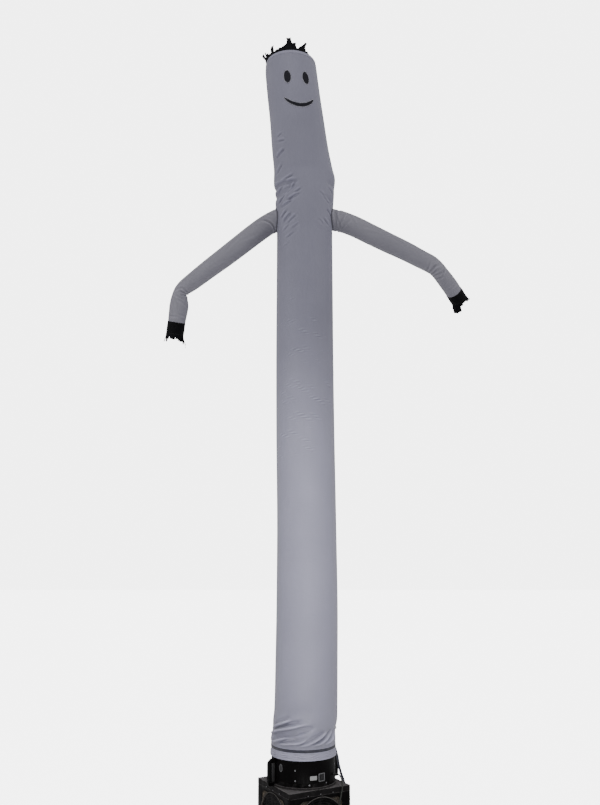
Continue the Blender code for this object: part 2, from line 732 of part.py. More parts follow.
def make_guard(side, material):
    """Rings and spokes cut from one grid of cells round the guard's middle."""
    outward, sideways, up = face_frame(FACE_NORMALS[side])
    radii = (0.022, 0.046, 0.100, 0.107, 0.181, 0.189)
    solid_bands = (0, 2, 4)
    spoke = 3.0
    arc = (90.0 - spoke) / 4
    angles, spoke_cells = [], []
    for quarter in range(4):
        first = 45.0 + 90.0 * quarter - spoke / 2
        spoke_cells.append(len(angles))
        angles.append(first)
        angles += [first + spoke + arc * k for k in range(4)]
    count = len(angles)
    bands = len(radii) - 1

    def is_solid(band, cell):
        return band in solid_bands or (0 <= band < bands and cell % count in spoke_cells)

    points = []
    for depth in (PANEL_OUT + GAP, PANEL_OUT + GAP + 0.003):
        for radius in radii:
            for angle in angles:
                turn = math.radians(angle)
                points.append(outward * depth + sideways * (radius * math.cos(turn))
                              + up * (GUARD_HEIGHT + radius * math.sin(turn)))
    layer = len(radii) * count

    def at(level, ring, cell):
        return level * layer + ring * count + cell % count

    faces = []
    for band in range(bands):
        for cell in range(count):
            if not is_solid(band, cell):
                continue
            faces.append((at(1, band, cell), at(1, band + 1, cell),
                          at(1, band + 1, cell + 1), at(1, band, cell + 1)))
            faces.append((at(0, band, cell + 1), at(0, band + 1, cell + 1),
                          at(0, band + 1, cell), at(0, band, cell)))
            if not is_solid(band - 1, cell):
                faces.append((at(0, band, cell), at(1, band, cell),
                              at(1, band, cell + 1), at(0, band, cell + 1)))
            if not is_solid(band + 1, cell):
                faces.append((at(0, band + 1, cell + 1), at(1, band + 1, cell + 1),
                              at(1, band + 1, cell), at(0, band + 1, cell)))
            if not is_solid(band, cell - 1):
                faces.append((at(0, band + 1, cell), at(1, band + 1, cell),
                              at(1, band, cell), at(0, band, cell)))
            if not is_solid(band, cell + 1):
                faces.append((at(0, band, cell + 1), at(1, band, cell + 1),
                              at(1, band + 1, cell + 1), at(0, band + 1, cell + 1)))
    used = sorted({k for face in faces for k in face})
    renumber = {k: n for n, k in enumerate(used)}
    faces = [tuple(renumber[k] for k in face) for face in faces]
    made = make_object("guard_" + side, [points[k] for k in used], faces, material)
    fix_normals(made)


def make_lid(material):
    half = BOX_SIDE / 2
    turn = box_turn()
    lid = make_block("lid", (-half, -half, BOX_TOP - SKIRT), (half, half, BOX_TOP), material, turn)
    inner = half - SHEET
    hollow = make_block("lid_hollow", (-inner, -inner, BOX_TOP - SKIRT - 0.02),
                        (inner, inner, BOX_TOP - SHEET), material, turn)
    cut(lid, hollow)
    throat = cylinder("lid_throat", (0.0, 0.0, BOX_TOP - 0.03), (0.0, 0.0, 1.0), 0.205, 0.06,
                      material, sides=32)
    cut(lid, throat)


def make_handle(side, material):
    """A bent grip with a strap against the drum and an open finger gap."""
    outward, sideways, up = face_frame(FACE_NORMALS[side])
    seat = DRUM_RADIUS + GAP
    over_ring = RING_RADIUS + 0.003
    above_ring = BOX_TOP + RING_HEIGHT + 0.0025
    above_lid = BOX_TOP + 0.0035
    outline = ((seat, above_ring), (over_ring, above_ring), (over_ring, above_lid),
               (HANDLE_REACH, above_lid), (HANDLE_REACH, 0.650), (0.262, 0.672), (seat, 0.672))
    grip = 0.008
    gap = ((seat + 0.006, 0.516), (HANDLE_REACH - grip, 0.516), (HANDLE_REACH - grip, 0.645),
           (0.257, 0.663), (seat + 0.006, 0.663))
    for name, loop, half in (("handle_" + side, outline, HANDLE_WIDTH / 2),
                             ("finger_gap_" + side, gap, HANDLE_WIDTH)):
        rings = [[outward * r + up * h + sideways * s for r, h in loop] for s in (-half, half)]
        made = loft(name, rings, material)
        fix_normals(made)
        if name.startswith("handle"):
            handle = made
        else:
            cut(handle, made)


def drum_place(azimuth, height, half_width):
    """Where a flat back seats on the drum: on one facet, or on the corner it reaches."""
    step = 360.0 / TUBE_SIDES
    corner = round((azimuth + 90.0) / step) * step - 90.0
    off = math.radians(azimuth - corner)
    reach = DRUM_RADIUS * math.cos(off)
    facing = azimuth
    if DRUM_RADIUS * abs(math.sin(off)) > half_width:
        facing = (math.floor((azimuth + 90.0) / step) + 0.5) * step - 90.0
        reach = DRUM_RADIUS * math.cos(math.radians(step / 2))
        reach /= math.cos(math.radians(azimuth - facing))
    angle, turn = math.radians(azimuth), math.radians(facing)
    outward = Vector((math.cos(turn), math.sin(turn), 0.0))
    place = Vector((reach * math.cos(angle), reach * math.sin(angle), height))
    return place + outward * GAP, outward


def make_drum_plate(name, azimuth, height, half_width, half_height, thick, material):
    """A flat plate held against the drum."""
    place, outward = drum_place(azimuth, height, half_width)
    sideways = Vector((-outward.y, outward.x, 0.0))
    up = Vector((0.0, 0.0, 1.0))
    rings = [[place + outward * d + sideways * s + up * h
              for s, h in ((-half_width, -half_height), (half_width, -half_height),
                           (half_width, half_height), (-half_width, half_height))]
             for d in (0.0, thick)]
    made = loft(name, rings, material)
    fix_normals(made)
    return made


def make_bolt(name, azimuth, height, material):
    place, outward = drum_place(azimuth, height, 0.0055)
    cylinder(name, place, outward, 0.0055, 0.004, material, sides=8, tip=0.0045)


def smooth_route(route, spacing):
    """Points read from a smooth curve through the route, about spacing apart."""
    dense = []
    for k in range(len(route) - 1):
        p = [Vector(route[max(0, min(len(route) - 1, k + d))]) for d in (-1, 0, 1, 2)]
        for n in range(20):
            t = n / 20
            dense.append(0.5 * (2 * p[1] + (p[2] - p[0]) * t
                                + (2 * p[0] - 5 * p[1] + 4 * p[2] - p[3]) * t**2
                                + (3 * p[1] - p[0] - 3 * p[2] + p[3]) * t**3))
    dense.append(Vector(route[-1]))
    picked, run = [dense[0]], 0.0
    for before, after in zip(dense, dense[1:]):
        run += (after - before).length
        if run >= spacing:
            picked.append(after)
            run = 0.0
    if (picked[-1] - dense[-1]).length > spacing * 0.4:
        picked.append(dense[-1])
    else:
        picked[-1] = dense[-1]
    return picked


def make_lead(rubber, steel):
    """The gland, the free stretch, the coil of what is left, and the plug."""
    place, outward = drum_place(-22.5, 0.5635, 0.0085)
    exit_point = Vector(LEAD_ROUTE[0])
    reach = (exit_point - place).dot(outward) - 2 * GAP
    cylinder("cable_gland", place, outward, 0.0085, reach, rubber, sides=12, tip=0.0062)

    curve = bpy.data.curves.new("power_cord", "CURVE")
    curve.dimensions = "3D"
    curve.bevel_depth = CORD_DIAMETER / 2
    curve.bevel_resolution = 2
    curve.use_fill_caps = True
    spline = curve.splines.new("POLY")
    points = smooth_route(LEAD_ROUTE, CORD_DIAMETER * 2.6)
    spline.points.add(len(points) - 1)
    for slot, point in zip(spline.points, points):
        slot.co = (*point, 1.0)
    cord = bpy.data.objects.new("power_cord", curve)
    cord.data.materials.append(rubber)
    bpy.context.scene.collection.objects.link(cord)

    low, high = 0.0004, 0.0222
    inner, outer = COIL_RADIUS - 0.0095, COIL_RADIUS + 0.0140
    section = ((outer, low), (outer, high * 0.55), (outer - 0.005, high), (inner + 0.005, high),
               (inner, high * 0.55), (inner, low))
    sides = 20
    rings = []
    for i in range(sides):
        angle = 2.0 * math.pi * i / sides
        rings.append([Vector((COIL_CENTRE[0] + r * math.cos(angle),
                              COIL_CENTRE[1] + r * math.sin(angle), h)) for r, h in section])
    points = [p for ring in rings for p in ring]
    count = len(section)
    faces = []
    for i in range(sides):
        a, b = i * count, (i + 1) % sides * count
        for k in range(count):
            m = (k + 1) % count
            faces.append((a + k, b + k, b + m, a + m))
    coil = make_object("cord_coil", points, faces, rubber)
    fix_normals(coil)

    facet = outer * math.cos(math.pi / sides)
    plug_turn = Matrix.Translation((COIL_CENTRE[0], COIL_CENTRE[1], 0.0))
    plug_turn = plug_turn @ Matrix.Rotation(math.radians(27.0), 4, "Z")
    make_block("cord_plug", (facet + GAP, -0.009, 0.0004), (facet + GAP + 0.044, 0.009, 0.0115),
               rubber, plug_turn)


def make_blower(metal, dark_plastic, pale_plate, bright, rubber):
    turn = box_turn()
    half = PANEL_OUT
    make_block("bottom_pan", (-half, -half, 0.0), (half, half, PAN_THICK), metal, turn)
    for side in FACE_NORMALS:
        make_side_panel(side, metal)
        make_guard(side, metal)
    make_lid(metal)

    bar_top = BOX_TOP - SHEET - GAP
    bar_thick = 0.006
    make_block("motor_bar", (-0.215, -0.020, bar_top - bar_thick), (0.215, 0.020, bar_top),
               metal, turn)
    motor_top = bar_top - bar_thick - GAP
    motor_length = 0.210
    cylinder("fan_motor", (0.0, 0.0, motor_top - motor_length), (0.0, 0.0, 1.0), 0.085,
             motor_length, metal, sides=20)

    foot = BOX_TOP + GAP
    hoop("drum", DRUM_RADIUS, SHEET, foot, DRUM_TOP, metal)
    hoop("drum_ring", RING_RADIUS, RING_RADIUS - DRUM_RADIUS - GAP, foot, foot + RING_HEIGHT,
         metal)
    for side in ("left", "right"):
        make_handle(side, metal)

    make_drum_plate("switch_bezel", -57.2, 0.568, 0.0250, 0.0270, 0.006, dark_plastic)
    make_drum_plate("blank_plate", -72.5, 0.567, 0.0260, 0.0140, 0.0015, pale_plate)
    make_drum_plate("oval_plate", -133.0, 0.6215, 0.0150, 0.0260, 0.0015, pale_plate)
    bolts = ((-104.4, 0.617), (-104.4, 0.549), (-79.5, 0.522), (-46.5, 0.525), (-17.4, 0.628),
             (90.0, 0.617), (90.0, 0.549))
    for k, (azimuth, height) in enumerate(bolts):
        make_bolt("drum_bolt_%d" % (k + 1), azimuth, height, bright)
    make_lead(rubber, bright)


def build():
    clear_scene()
    nylon = make_material("nylon", (0.42, 0.42, 0.47), 0.62)
    black = make_material("black_nylon", (0.012, 0.012, 0.014), 0.70)
    charcoal = make_material("charcoal_patch", (0.020, 0.020, 0.026), 0.65)
    webbing = make_material("webbing", (0.055, 0.058, 0.075), 0.75)
    metal = make_material("black_metal", (0.014, 0.013, 0.014), 0.45, 0.0)
    dark_plastic = make_material("dark_plastic", (0.030, 0.030, 0.032), 0.40)
    pale_plate = make_material("pale_plate", (0.55, 0.55, 0.55), 0.35)
    bright = make_material("bright_bolt", (0.60, 0.60, 0.62), 0.30, 1.0)
    rubber = make_material("cord_rubber", (0.045, 0.055, 0.045), 0.60)
    make_dancer(nylon, black, charcoal, webbing)
    make_blower(metal, dark_plastic, pale_plate, bright, rubber)


build()
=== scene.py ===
import math
import random
from functools import partial

import bmesh
import bpy
import numpy as np
from mathutils import Matrix, Vector


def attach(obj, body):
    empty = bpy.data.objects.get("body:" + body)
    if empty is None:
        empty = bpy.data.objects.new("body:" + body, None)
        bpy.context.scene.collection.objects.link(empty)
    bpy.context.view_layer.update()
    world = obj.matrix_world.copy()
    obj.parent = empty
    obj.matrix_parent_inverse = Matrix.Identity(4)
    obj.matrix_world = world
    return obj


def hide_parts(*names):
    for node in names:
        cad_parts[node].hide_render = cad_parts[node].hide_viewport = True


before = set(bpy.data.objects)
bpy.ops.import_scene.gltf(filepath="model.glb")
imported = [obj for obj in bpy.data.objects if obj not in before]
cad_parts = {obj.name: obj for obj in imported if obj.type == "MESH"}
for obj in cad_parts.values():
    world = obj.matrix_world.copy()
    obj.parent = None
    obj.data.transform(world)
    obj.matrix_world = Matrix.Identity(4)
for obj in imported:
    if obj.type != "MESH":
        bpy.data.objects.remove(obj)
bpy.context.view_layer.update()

# Metres, Z up. The blower stands on the floor at the origin and the figure looks along -Y.
# Azimuths are degrees round the upright from +X, so -90 is the front.


# Camera and studio

studio = {
    "cameraAt": (-0.024, -6.23, 2.12),
    "pitchUp": 10.4,
    "focalLength": 36.22, "sensorWidth": 36.0, "clipEnd": 200.0,
    "floorSize": 80.0, "whiteFrom": 0.55, "whiteBy": 1.15,
    "backgroundWhite": 5.0,
    "skyLow": 0.38, "skyHigh": 0.78,
    "keyAt": (-0.6, -3.0, 8.6), "keyAim": (0.0, 0.0, 3.6), "keySize": 1.0, "keyPower": 30.0,
    "leftAt": (-4.4, -2.6, 5.0), "leftAim": (0.0, 0.0, 4.6), "leftSize": 1.6, "leftPower": 42.0,
    "rightAt": (4.4, -2.2, 5.0), "rightAim": (0.0, 0.0, 4.6), "rightSize": 1.6, "rightPower": 42.0,
    "lowAt": (-1.5, -1.7, 3.4), "lowAim": (0.0, 0.0, 0.85), "lowSize": 0.4, "lowPower": 13.0,
    "flashAt": (0.3, -6.4, 2.6), "flashAim": (0.0, 0.0, 1.9), "flashCone": 34.0,
    "flashPower": 1480.0, "flashBlend": 1.0, "flashSoftness": 0.45,
}


def aimAt(place, target):
    return (Vector(target) - Vector(place)).to_track_quat("-Z", "Y").to_euler()


def addSoftLight(name, place, aim, size, power):
    lamp = bpy.data.lights.new(name, "AREA")
    lamp.shape = "DISK"
    lamp.size = size
    lamp.energy = power
    lampObject = bpy.data.objects.new(name, lamp)
    lampObject.location = place
    lampObject.rotation_euler = aimAt(place, aim)
    bpy.context.scene.collection.objects.link(lampObject)


def setUpStudio():
    scene = bpy.context.scene
    lens = bpy.data.cameras.new("photoCamera")
    lens.lens = studio["focalLength"]
    lens.sensor_width = studio["sensorWidth"]
    lens.clip_end = studio["clipEnd"]
    camera = bpy.data.objects.new("photoCamera", lens)
    camera.location = studio["cameraAt"]
    camera.rotation_euler = (math.radians(90.0 + studio["pitchUp"]), 0.0, 0.0)
    scene.collection.objects.link(camera)
    scene.camera = camera

    for light in ("key", "left", "right", "low"):
        addSoftLight(light + "Light", studio[light + "At"], studio[light + "Aim"],
            studio[light + "Size"], studio[light + "Power"])
    flash = bpy.data.lights.new("flashLight", "SPOT")
    flash.energy = studio["flashPower"]
    flash.spot_size = math.radians(studio["flashCone"])
    flash.spot_blend = studio["flashBlend"]
    flash.shadow_soft_size = studio["flashSoftness"]
    flashObject = bpy.data.objects.new("flashLight", flash)
    flashObject.location = studio["flashAt"]
    flashObject.rotation_euler = aimAt(studio["flashAt"], studio["flashAim"])
    scene.collection.objects.link(flashObject)

    world = bpy.data.worlds.new("paleStudio")
    world.use_nodes = True
    nodes, links = world.node_tree.nodes, world.node_tree.links
    nodes.clear()
    output = nodes.new("ShaderNodeOutputWorld")
    mix = nodes.new("ShaderNodeMixShader")
    seen = nodes.new("ShaderNodeLightPath")
    sky = nodes.new("ShaderNodeBackground")
    sky.inputs["Color"].default_value = (0.98, 0.97, 1.0, 1.0)
    # an overcast sky: brighter overhead than at the horizon
    way = nodes.new("ShaderNodeTexCoord")
    parts = nodes.new("ShaderNodeSeparateXYZ")
    climb = nodes.new("ShaderNodeMapRange")
    climb.inputs["To Min"].default_value = studio["skyLow"]
    climb.inputs["To Max"].default_value = studio["skyHigh"]
    links.new(way.outputs["Generated"], parts.inputs["Vector"])
    links.new(parts.outputs["Z"], climb.inputs["Value"])
    links.new(climb.outputs["Result"], sky.inputs["Strength"])
    backdrop = nodes.new("ShaderNodeBackground")
    backdrop.inputs["Color"].default_value = (1.0, 1.0, 1.0, 1.0)
    backdrop.inputs["Strength"].default_value = studio["backgroundWhite"]
    links.new(seen.outputs["Is Camera Ray"], mix.inputs["Fac"])
    links.new(sky.outputs["Background"], mix.inputs[1])
    links.new(backdrop.outputs["Background"], mix.inputs[2])
    links.new(mix.outputs["Shader"], output.inputs["Surface"])
    scene.world = world

    half = studio["floorSize"] / 2
    floorMesh = bpy.data.meshes.new("paleFloor")
    floorMesh.from_pydata([(-half, -half, 0), (half, -half, 0), (half, half, 0), (-half, half, 0)],
        [], [(0, 1, 2, 3)])
    floor = bpy.data.objects.new("paleFloor", floorMesh)
    scene.collection.objects.link(floor)
    return floor


# Helpers for materials

def feed(tree, node, inputs):
    # a node given as a value stands for its first output
    for key, value in inputs.items():
        if isinstance(value, bpy.types.Node):
            value = value.outputs[0]
        if isinstance(value, bpy.types.NodeSocket):
            tree.links.new(value, node.inputs[key])
        else:
            node.inputs[key].default_value = value


def addNode(tree, kind, inputs=None, **settings):
    node = tree.nodes.new(kind)
    for key, value in settings.items():
        setattr(node, key, value)
    feed(tree, node, inputs or {})
    return node


def startMaterial(name, viewColour):
    material = bpy.data.materials.new(name)
    material.use_nodes = True
    material.diffuse_color = (*viewColour, 1.0)
    tree = material.node_tree
    shader = tree.nodes["Principled BSDF"]
    return material, tree, shader


def objectPlace(tree):
    return addNode(tree, "ShaderNodeTexCoord").outputs["Object"]


def sewnPlace(tree):
    return addNode(tree, "ShaderNodeUVMap", uv_map="UVMap").outputs["UV"]


def noiseOf(tree, place, scale, detail=3.0, rough=0.5):
    return addNode(tree, "ShaderNodeTexNoise", {"Vector": place, "Scale": scale, "Detail": detail,
        "Roughness": rough}).outputs["Fac"]


def blendColours(tree, amount, first, second, kind="MIX"):
    mix = addNode(tree, "ShaderNodeMix", data_type="RGBA", blend_type=kind)
    for socket, value in ((mix.inputs[0], amount), (mix.inputs[6], first), (mix.inputs[7], second)):
        if isinstance(value, bpy.types.NodeSocket):
            tree.links.new(value, socket)
        elif isinstance(value, tuple):
            socket.default_value = (*value, 1.0)
        else:
            socket.default_value = value
    return mix.outputs[2]


def spread(tree, value, low, high, toLow=0.0, toHigh=1.0):
    return addNode(tree, "ShaderNodeMapRange", {"Value": value, "From Min": low, "From Max": high,
        "To Min": toLow, "To Max": toHigh}).outputs["Result"]


def calculate(tree, operation, first, second=None):
    inputs = {0: first}
    if second is not None:
        inputs[1] = second
    return addNode(tree, "ShaderNodeMath", inputs, operation=operation).outputs[0]


def bump(tree, height, distance, strength=1.0, under=None):
    inputs = {"Height": height, "Distance": distance, "Strength": strength}
    if under is not None:
        inputs["Normal"] = under
    return addNode(tree, "ShaderNodeBump", inputs).outputs["Normal"]


# Cloth materials read the cloth's own UV map, which is in metres along warp and weft

def ripstopLines(tree, sewn, square, thread):
    return addNode(tree, "ShaderNodeTexBrick", {"Vector": sewn, "Color1": (0, 0, 0, 1),
        "Color2": (0, 0, 0, 1), "Mortar": (1, 1, 1, 1), "Scale": 1.0, "Mortar Size": thread,
        "Mortar Smooth": 0.4, "Brick Width": square, "Row Height": square}, offset=0.0,
        squash=1.0).outputs["Color"]


def makeCloth(name, colour, shade, dust, roughness, sheen, puckers, gloss=0.35, dustTop=None,
        hems=(), creaseShadeAndHighlight=0.5):
    material, tree, shader = startMaterial(name, colour)
    sewn = sewnPlace(tree)
    place = objectPlace(tree)
    patches = noiseOf(tree, place, 2.2, 3.0)
    base = blendColours(tree, spread(tree, patches, 0.35, 0.68), colour, shade)
    streaks = addNode(tree, "ShaderNodeMapping", {"Vector": sewn, "Scale": (30.0, 1.2, 1.0)})
    yarn = noiseOf(tree, streaks, 1.0, 4.0)
    base = blendColours(tree, spread(tree, yarn, 0.45, 0.75, 0.0, 0.3), base, shade)
    grid = ripstopLines(tree, sewn, 0.0055, 0.0006)
    base = blendColours(tree, calculate(tree, "MULTIPLY", grid, 0.1), base, dust)
    if dustTop:
        lift = addNode(tree, "ShaderNodeSeparateXYZ", {"Vector": place}).outputs["Z"]
        low = spread(tree, lift, dustTop[0], dustTop[1], 1.0, 0.0)
        soil = noiseOf(tree, place, 14.0, 6.0, 0.65)
        soiled = calculate(tree, "MULTIPLY", low, spread(tree, soil, 0.46, 0.72, 0.0, 0.55))
        base = blendColours(tree, soiled, base, dust)
    if hems:
        level = addNode(tree, "ShaderNodeSeparateXYZ", {"Vector": place}).outputs["Z"]
        doubled = calculate(tree, "ADD", spread(tree, level, hems[0], hems[0] + 0.003, 1.0, 0.0),
            spread(tree, level, hems[1] - 0.003, hems[1], 0.0, 1.0))
        lighter = tuple(min(1.0, c * 1.22) for c in colour)
        base = blendColours(tree, calculate(tree, "MULTIPLY", doubled, 0.75), base, lighter)
    # painted shade darkens the cloth in the valleys of creases and ripples, and a painted highlight
    # lightens their ridges, both read from the mesh's pointiness
    bend = addNode(tree, "ShaderNodeNewGeometry").outputs["Pointiness"]
    base = blendColours(tree, spread(tree, bend, 0.44, 0.495, creaseShadeAndHighlight, 0.0), base,
        tuple(c * 0.4 for c in shade))
    base = blendColours(tree, spread(tree, bend, 0.506, 0.56, 0.0, creaseShadeAndHighlight), base,
        tuple(min(1.0, c * 1.9) for c in colour))
    rough = spread(tree, patches, 0.3, 0.7, roughness - 0.05, roughness + 0.06)
    loose = noiseOf(tree, place, 9.0, 4.0, 0.55)
    normal = bump(tree, loose, 0.01, puckers)
    fine = addNode(tree, "ShaderNodeMapping", {"Vector": place, "Scale": (1.0, 1.0, 1.9)})
    small = noiseOf(tree, fine, 44.0, 3.0, 0.5)
    normal = bump(tree, small, 0.0022, puckers, normal)
    weave = addNode(tree, "ShaderNodeTexWave", {"Vector": sewn, "Scale": 320.0},
        bands_direction="X")
    weft = addNode(tree, "ShaderNodeTexWave", {"Vector": sewn, "Scale": 320.0}, bands_direction="Y")
    threads = calculate(tree, "MULTIPLY", weave.outputs["Fac"], weft.outputs["Fac"])
    threads = calculate(tree, "ADD", threads, calculate(tree, "MULTIPLY", grid, 1.5))
    normal = bump(tree, threads, 0.00022, 0.55, normal)
    feed(tree, shader, {"Base Color": base, "Roughness": rough, "Normal": normal,
        "Specular IOR Level": gloss, "Sheen Weight": sheen, "Sheen Roughness": 0.45})
    return material


def makeWebbing():
    colour, shade = (0.03, 0.032, 0.048), (0.018, 0.019, 0.028)
    material, tree, shader = startMaterial("wovenWebbing", colour)
    sewn = sewnPlace(tree)
    ribs = addNode(tree, "ShaderNodeTexWave", {"Vector": sewn, "Scale": 105.0, "Distortion": 0.6},
        bands_direction="DIAGONAL").outputs["Fac"]
    base = blendColours(tree, ribs, colour, shade)
    dirt = noiseOf(tree, objectPlace(tree), 22.0, 5.0)
    base = blendColours(tree, spread(tree, dirt, 0.5, 0.75, 0.0, 0.5), base, (0.07, 0.07, 0.08))
    feed(tree, shader, {"Base Color": base, "Normal": bump(tree, ribs, 0.0006, 0.8),
        "Roughness": 0.78, "Sheen Weight": 0.15})
    return material


def makeThread(name, colour):
    material, tree, shader = startMaterial(name, colour)
    twist = addNode(tree, "ShaderNodeTexWave", {"Vector": objectPlace(tree), "Scale": 260.0},
        bands_direction="DIAGONAL").outputs["Fac"]
    darker = tuple(c * 0.7 for c in colour)
    base = blendColours(tree, twist, colour, darker)
    feed(tree, shader, {"Base Color": base, "Normal": bump(tree, twist, 0.0002, 0.6),
        "Roughness": 0.6, "Sheen Weight": 0.2})
    return material


# Hard materials read Object coordinates

def makePowderCoat(name, colour, dustColour, dustAmount, roughness=0.42, gloss=0.07):
    material, tree, shader = startMaterial(name, colour)
    place = objectPlace(tree)
    wide = noiseOf(tree, place, 5.0, 4.0)
    tone = tuple(c * 1.6 + 0.0003 for c in colour)
    base = blendColours(tree, spread(tree, wide, 0.35, 0.75), colour, tone)
    facing = addNode(tree, "ShaderNodeNewGeometry").outputs["Normal"]
    upward = addNode(tree, "ShaderNodeSeparateXYZ", {"Vector": facing}).outputs["Z"]
    grime = noiseOf(tree, place, 26.0, 7.0, 0.68)
    settled = calculate(tree, "MULTIPLY", spread(tree, upward, 0.25, 0.95, 0.06, 1.0),
        spread(tree, grime, 0.3, 0.72, 0.55, 1.0))
    settled = calculate(tree, "MULTIPLY", settled, dustAmount)
    base = blendColours(tree, settled, base, dustColour)
    edge = addNode(tree, "ShaderNodeNewGeometry").outputs["Pointiness"]
    worn = calculate(tree, "MULTIPLY", spread(tree, edge, 0.53, 0.64, 0.0, 0.45),
        spread(tree, grime, 0.48, 0.62))
    base = blendColours(tree, worn, base, (0.045, 0.043, 0.042))
    scuffs = addNode(tree, "ShaderNodeMapping", {"Vector": place, "Scale": (60.0, 60.0, 8.0)})
    scuffed = noiseOf(tree, scuffs, 1.0, 5.0)
    rough = spread(tree, scuffed, 0.3, 0.75, roughness - 0.06, roughness + 0.2)
    rough = calculate(tree, "ADD", rough, calculate(tree, "MULTIPLY", settled, 0.25))
    peel = noiseOf(tree, place, 420.0, 2.0)
    normal = bump(tree, peel, 0.0003, 0.35)
    dents = noiseOf(tree, place, 12.0, 2.0)
    normal = bump(tree, dents, 0.002, 0.12, normal)
    feed(tree, shader, {"Base Color": base, "Roughness": rough, "Normal": normal,
        "Specular IOR Level": gloss})
    return material


def makeBareMetal(name, colour, roughness, scale=90.0):
    material, tree, shader = startMaterial(name, colour)
    place = objectPlace(tree)
    grains = noiseOf(tree, place, scale, 5.0, 0.6)
    darker = tuple(c * 0.45 for c in colour)
    base = blendColours(tree, spread(tree, grains, 0.42, 0.72), colour, darker)
    rough = spread(tree, grains, 0.3, 0.7, roughness, roughness + 0.25)
    feed(tree, shader, {"Base Color": base, "Roughness": rough, "Normal": bump(tree, grains, 0.0004,
        0.4), "Metallic": 1.0})
    return material


def makeMoulded(name, colour, roughness, grain=300.0, gloss=0.5):
    material, tree, shader = startMaterial(name, colour)
    place = objectPlace(tree)
    fine = noiseOf(tree, place, grain, 2.0)
    wide = noiseOf(tree, place, 30.0, 5.0, 0.6)
    shade = tuple(c * 0.62 for c in colour)
    base = blendColours(tree, spread(tree, wide, 0.4, 0.75, 0.0, 0.8), colour, shade)
    rough = spread(tree, wide, 0.3, 0.7, roughness - 0.05, roughness + 0.12)
    feed(tree, shader, {"Base Color": base, "Roughness": rough, "Normal": bump(tree, fine, 0.0003,
        0.4), "Specular IOR Level": gloss})
    return material


def makeFloorPaint():
    material, tree, shader = startMaterial("paleFloorPaint", (0.9, 0.9, 0.9))
    fine = noiseOf(tree, objectPlace(tree), 3.0, 2.0)
    base = blendColours(tree, fine, (0.9, 0.9, 0.9), (0.94, 0.94, 0.94))
    # further out the floor runs into the white of the backdrop
    away = addNode(tree, "ShaderNodeVectorMath", {0: objectPlace(tree)},
        operation="LENGTH").outputs["Value"]
    fade = addNode(tree, "ShaderNodeMapRange", {"Value": away, "From Min": studio["whiteFrom"],
        "From Max": studio["whiteBy"]}, interpolation_type="SMOOTHSTEP").outputs["Result"]
    seen = addNode(tree, "ShaderNodeLightPath").outputs["Is Camera Ray"]
    glow = calculate(tree, "MULTIPLY", calculate(tree, "MULTIPLY", fade, seen),
        studio["backgroundWhite"])
    feed(tree, shader, {"Base Color": base, "Emission Strength": glow, "Roughness": 0.9,
        "Emission Color": (1.0, 1.0, 1.0, 1.0)})
    return material


print("studio")
floor = setUpStudio()
floor.data.materials.append(makeFloorPaint())

nylonCloth = makeCloth("greyRipstopNylon", (0.25, 0.248, 0.318), (0.226, 0.224, 0.288),
    (0.2, 0.198, 0.212), 0.52, 0.14, 0.3, dustTop=(0.66, 1.05), hems=(0.733, 6.146))
sleeveCloth = makeCloth("sleeveRipstopNylon", (0.25, 0.246, 0.284), (0.224, 0.22, 0.256),
    (0.2, 0.198, 0.212), 0.52, 0.14, 0.34)
blackCloth = makeCloth("blackNylonCloth", (0.0016, 0.0017, 0.0028), (0.001, 0.001, 0.0016),
    (0.006, 0.006, 0.008), 0.6, 0.03, 0.6, gloss=0.1)
patchCloth = makeCloth("charcoalPatchCloth", (0.014, 0.0138, 0.02), (0.011, 0.0108, 0.016),
    (0.015, 0.015, 0.02), 0.62, 0.04, 0.2, gloss=0.12)
webbing = makeWebbing()
paleThread = makeThread("paleGreyThread", (0.44, 0.44, 0.5))
greyThread = makeThread("greyThread", (0.22, 0.22, 0.27))
blackThread = makeThread("blackThread", (0.008, 0.008, 0.011))
powderBlack = makePowderCoat("blackPowderCoat", (0.0006, 0.0003, 0.0004), (0.012, 0.011, 0.011),
    0.4)
lidBlack = makePowderCoat("dustyLidPowderCoat", (0.0006, 0.0003, 0.0004), (0.145, 0.137, 0.137),
    0.95, 0.5)
wirePaint = makePowderCoat("blackWirePaint", (0.006, 0.0055, 0.006), (0.03, 0.028, 0.026), 0.3,
    0.38)
dustyZinc = makeBareMetal("dustyZincWire", (0.24, 0.208, 0.17), 0.6)
guardRimPaint = makePowderCoat("guardRimPaint", (0.07, 0.067, 0.064), (0.06, 0.056, 0.052), 0.5,
    0.38)
zincBright = makeBareMetal("zincPlatedSteel", (0.3, 0.3, 0.31), 0.34)
motorPaint = makePowderCoat("motorPaint", (0.003, 0.003, 0.0035), (0.02, 0.018, 0.018), 0.5)
bezelPlastic = makeMoulded("greyMouldedPlastic", (0.12, 0.12, 0.125), 0.42)
gripRubber = makeMoulded("gripRubber", (0.0012, 0.0011, 0.0012), 0.7, 500.0, 0.12)
pitPlastic = makeMoulded("switchPitPlastic", (0.002, 0.002, 0.0024), 0.5)
platePlastic = makeMoulded("palePlatePlastic", (0.3, 0.3, 0.3), 0.4, 120.0)
smokedPlastic = makeMoulded("smokedPlatePlastic", (0.02, 0.02, 0.021), 0.4, 120.0)
cordRubber = makeMoulded("cordRubber", (0.014, 0.018, 0.013), 0.55, 500.0)
plugRubber = makeMoulded("plugRubber", (0.006, 0.0064, 0.006), 0.5, 400.0)
brassPlate = makeBareMetal("plugPinBrass", (0.45, 0.36, 0.2), 0.3)
# near-black paint for the solid sheet behind each inlet screen, painted shade for the dark inside
# of the box
interiorShadeSheetPaint = makePowderCoat("interiorShadeSheetPaint", (0.0004, 0.0003, 0.0003), (0.004, 0.004, 0.003), 0.5)


# Helpers for meshes

upright = Vector((0.0, 0.0, 1.0))


def raised(height):
    return Vector((0.0, 0.0, height))


def rectangle(halfWide, halfHigh):
    return [(-halfWide, -halfHigh), (halfWide, -halfHigh), (halfWide, halfHigh),
        (-halfWide, halfHigh)]


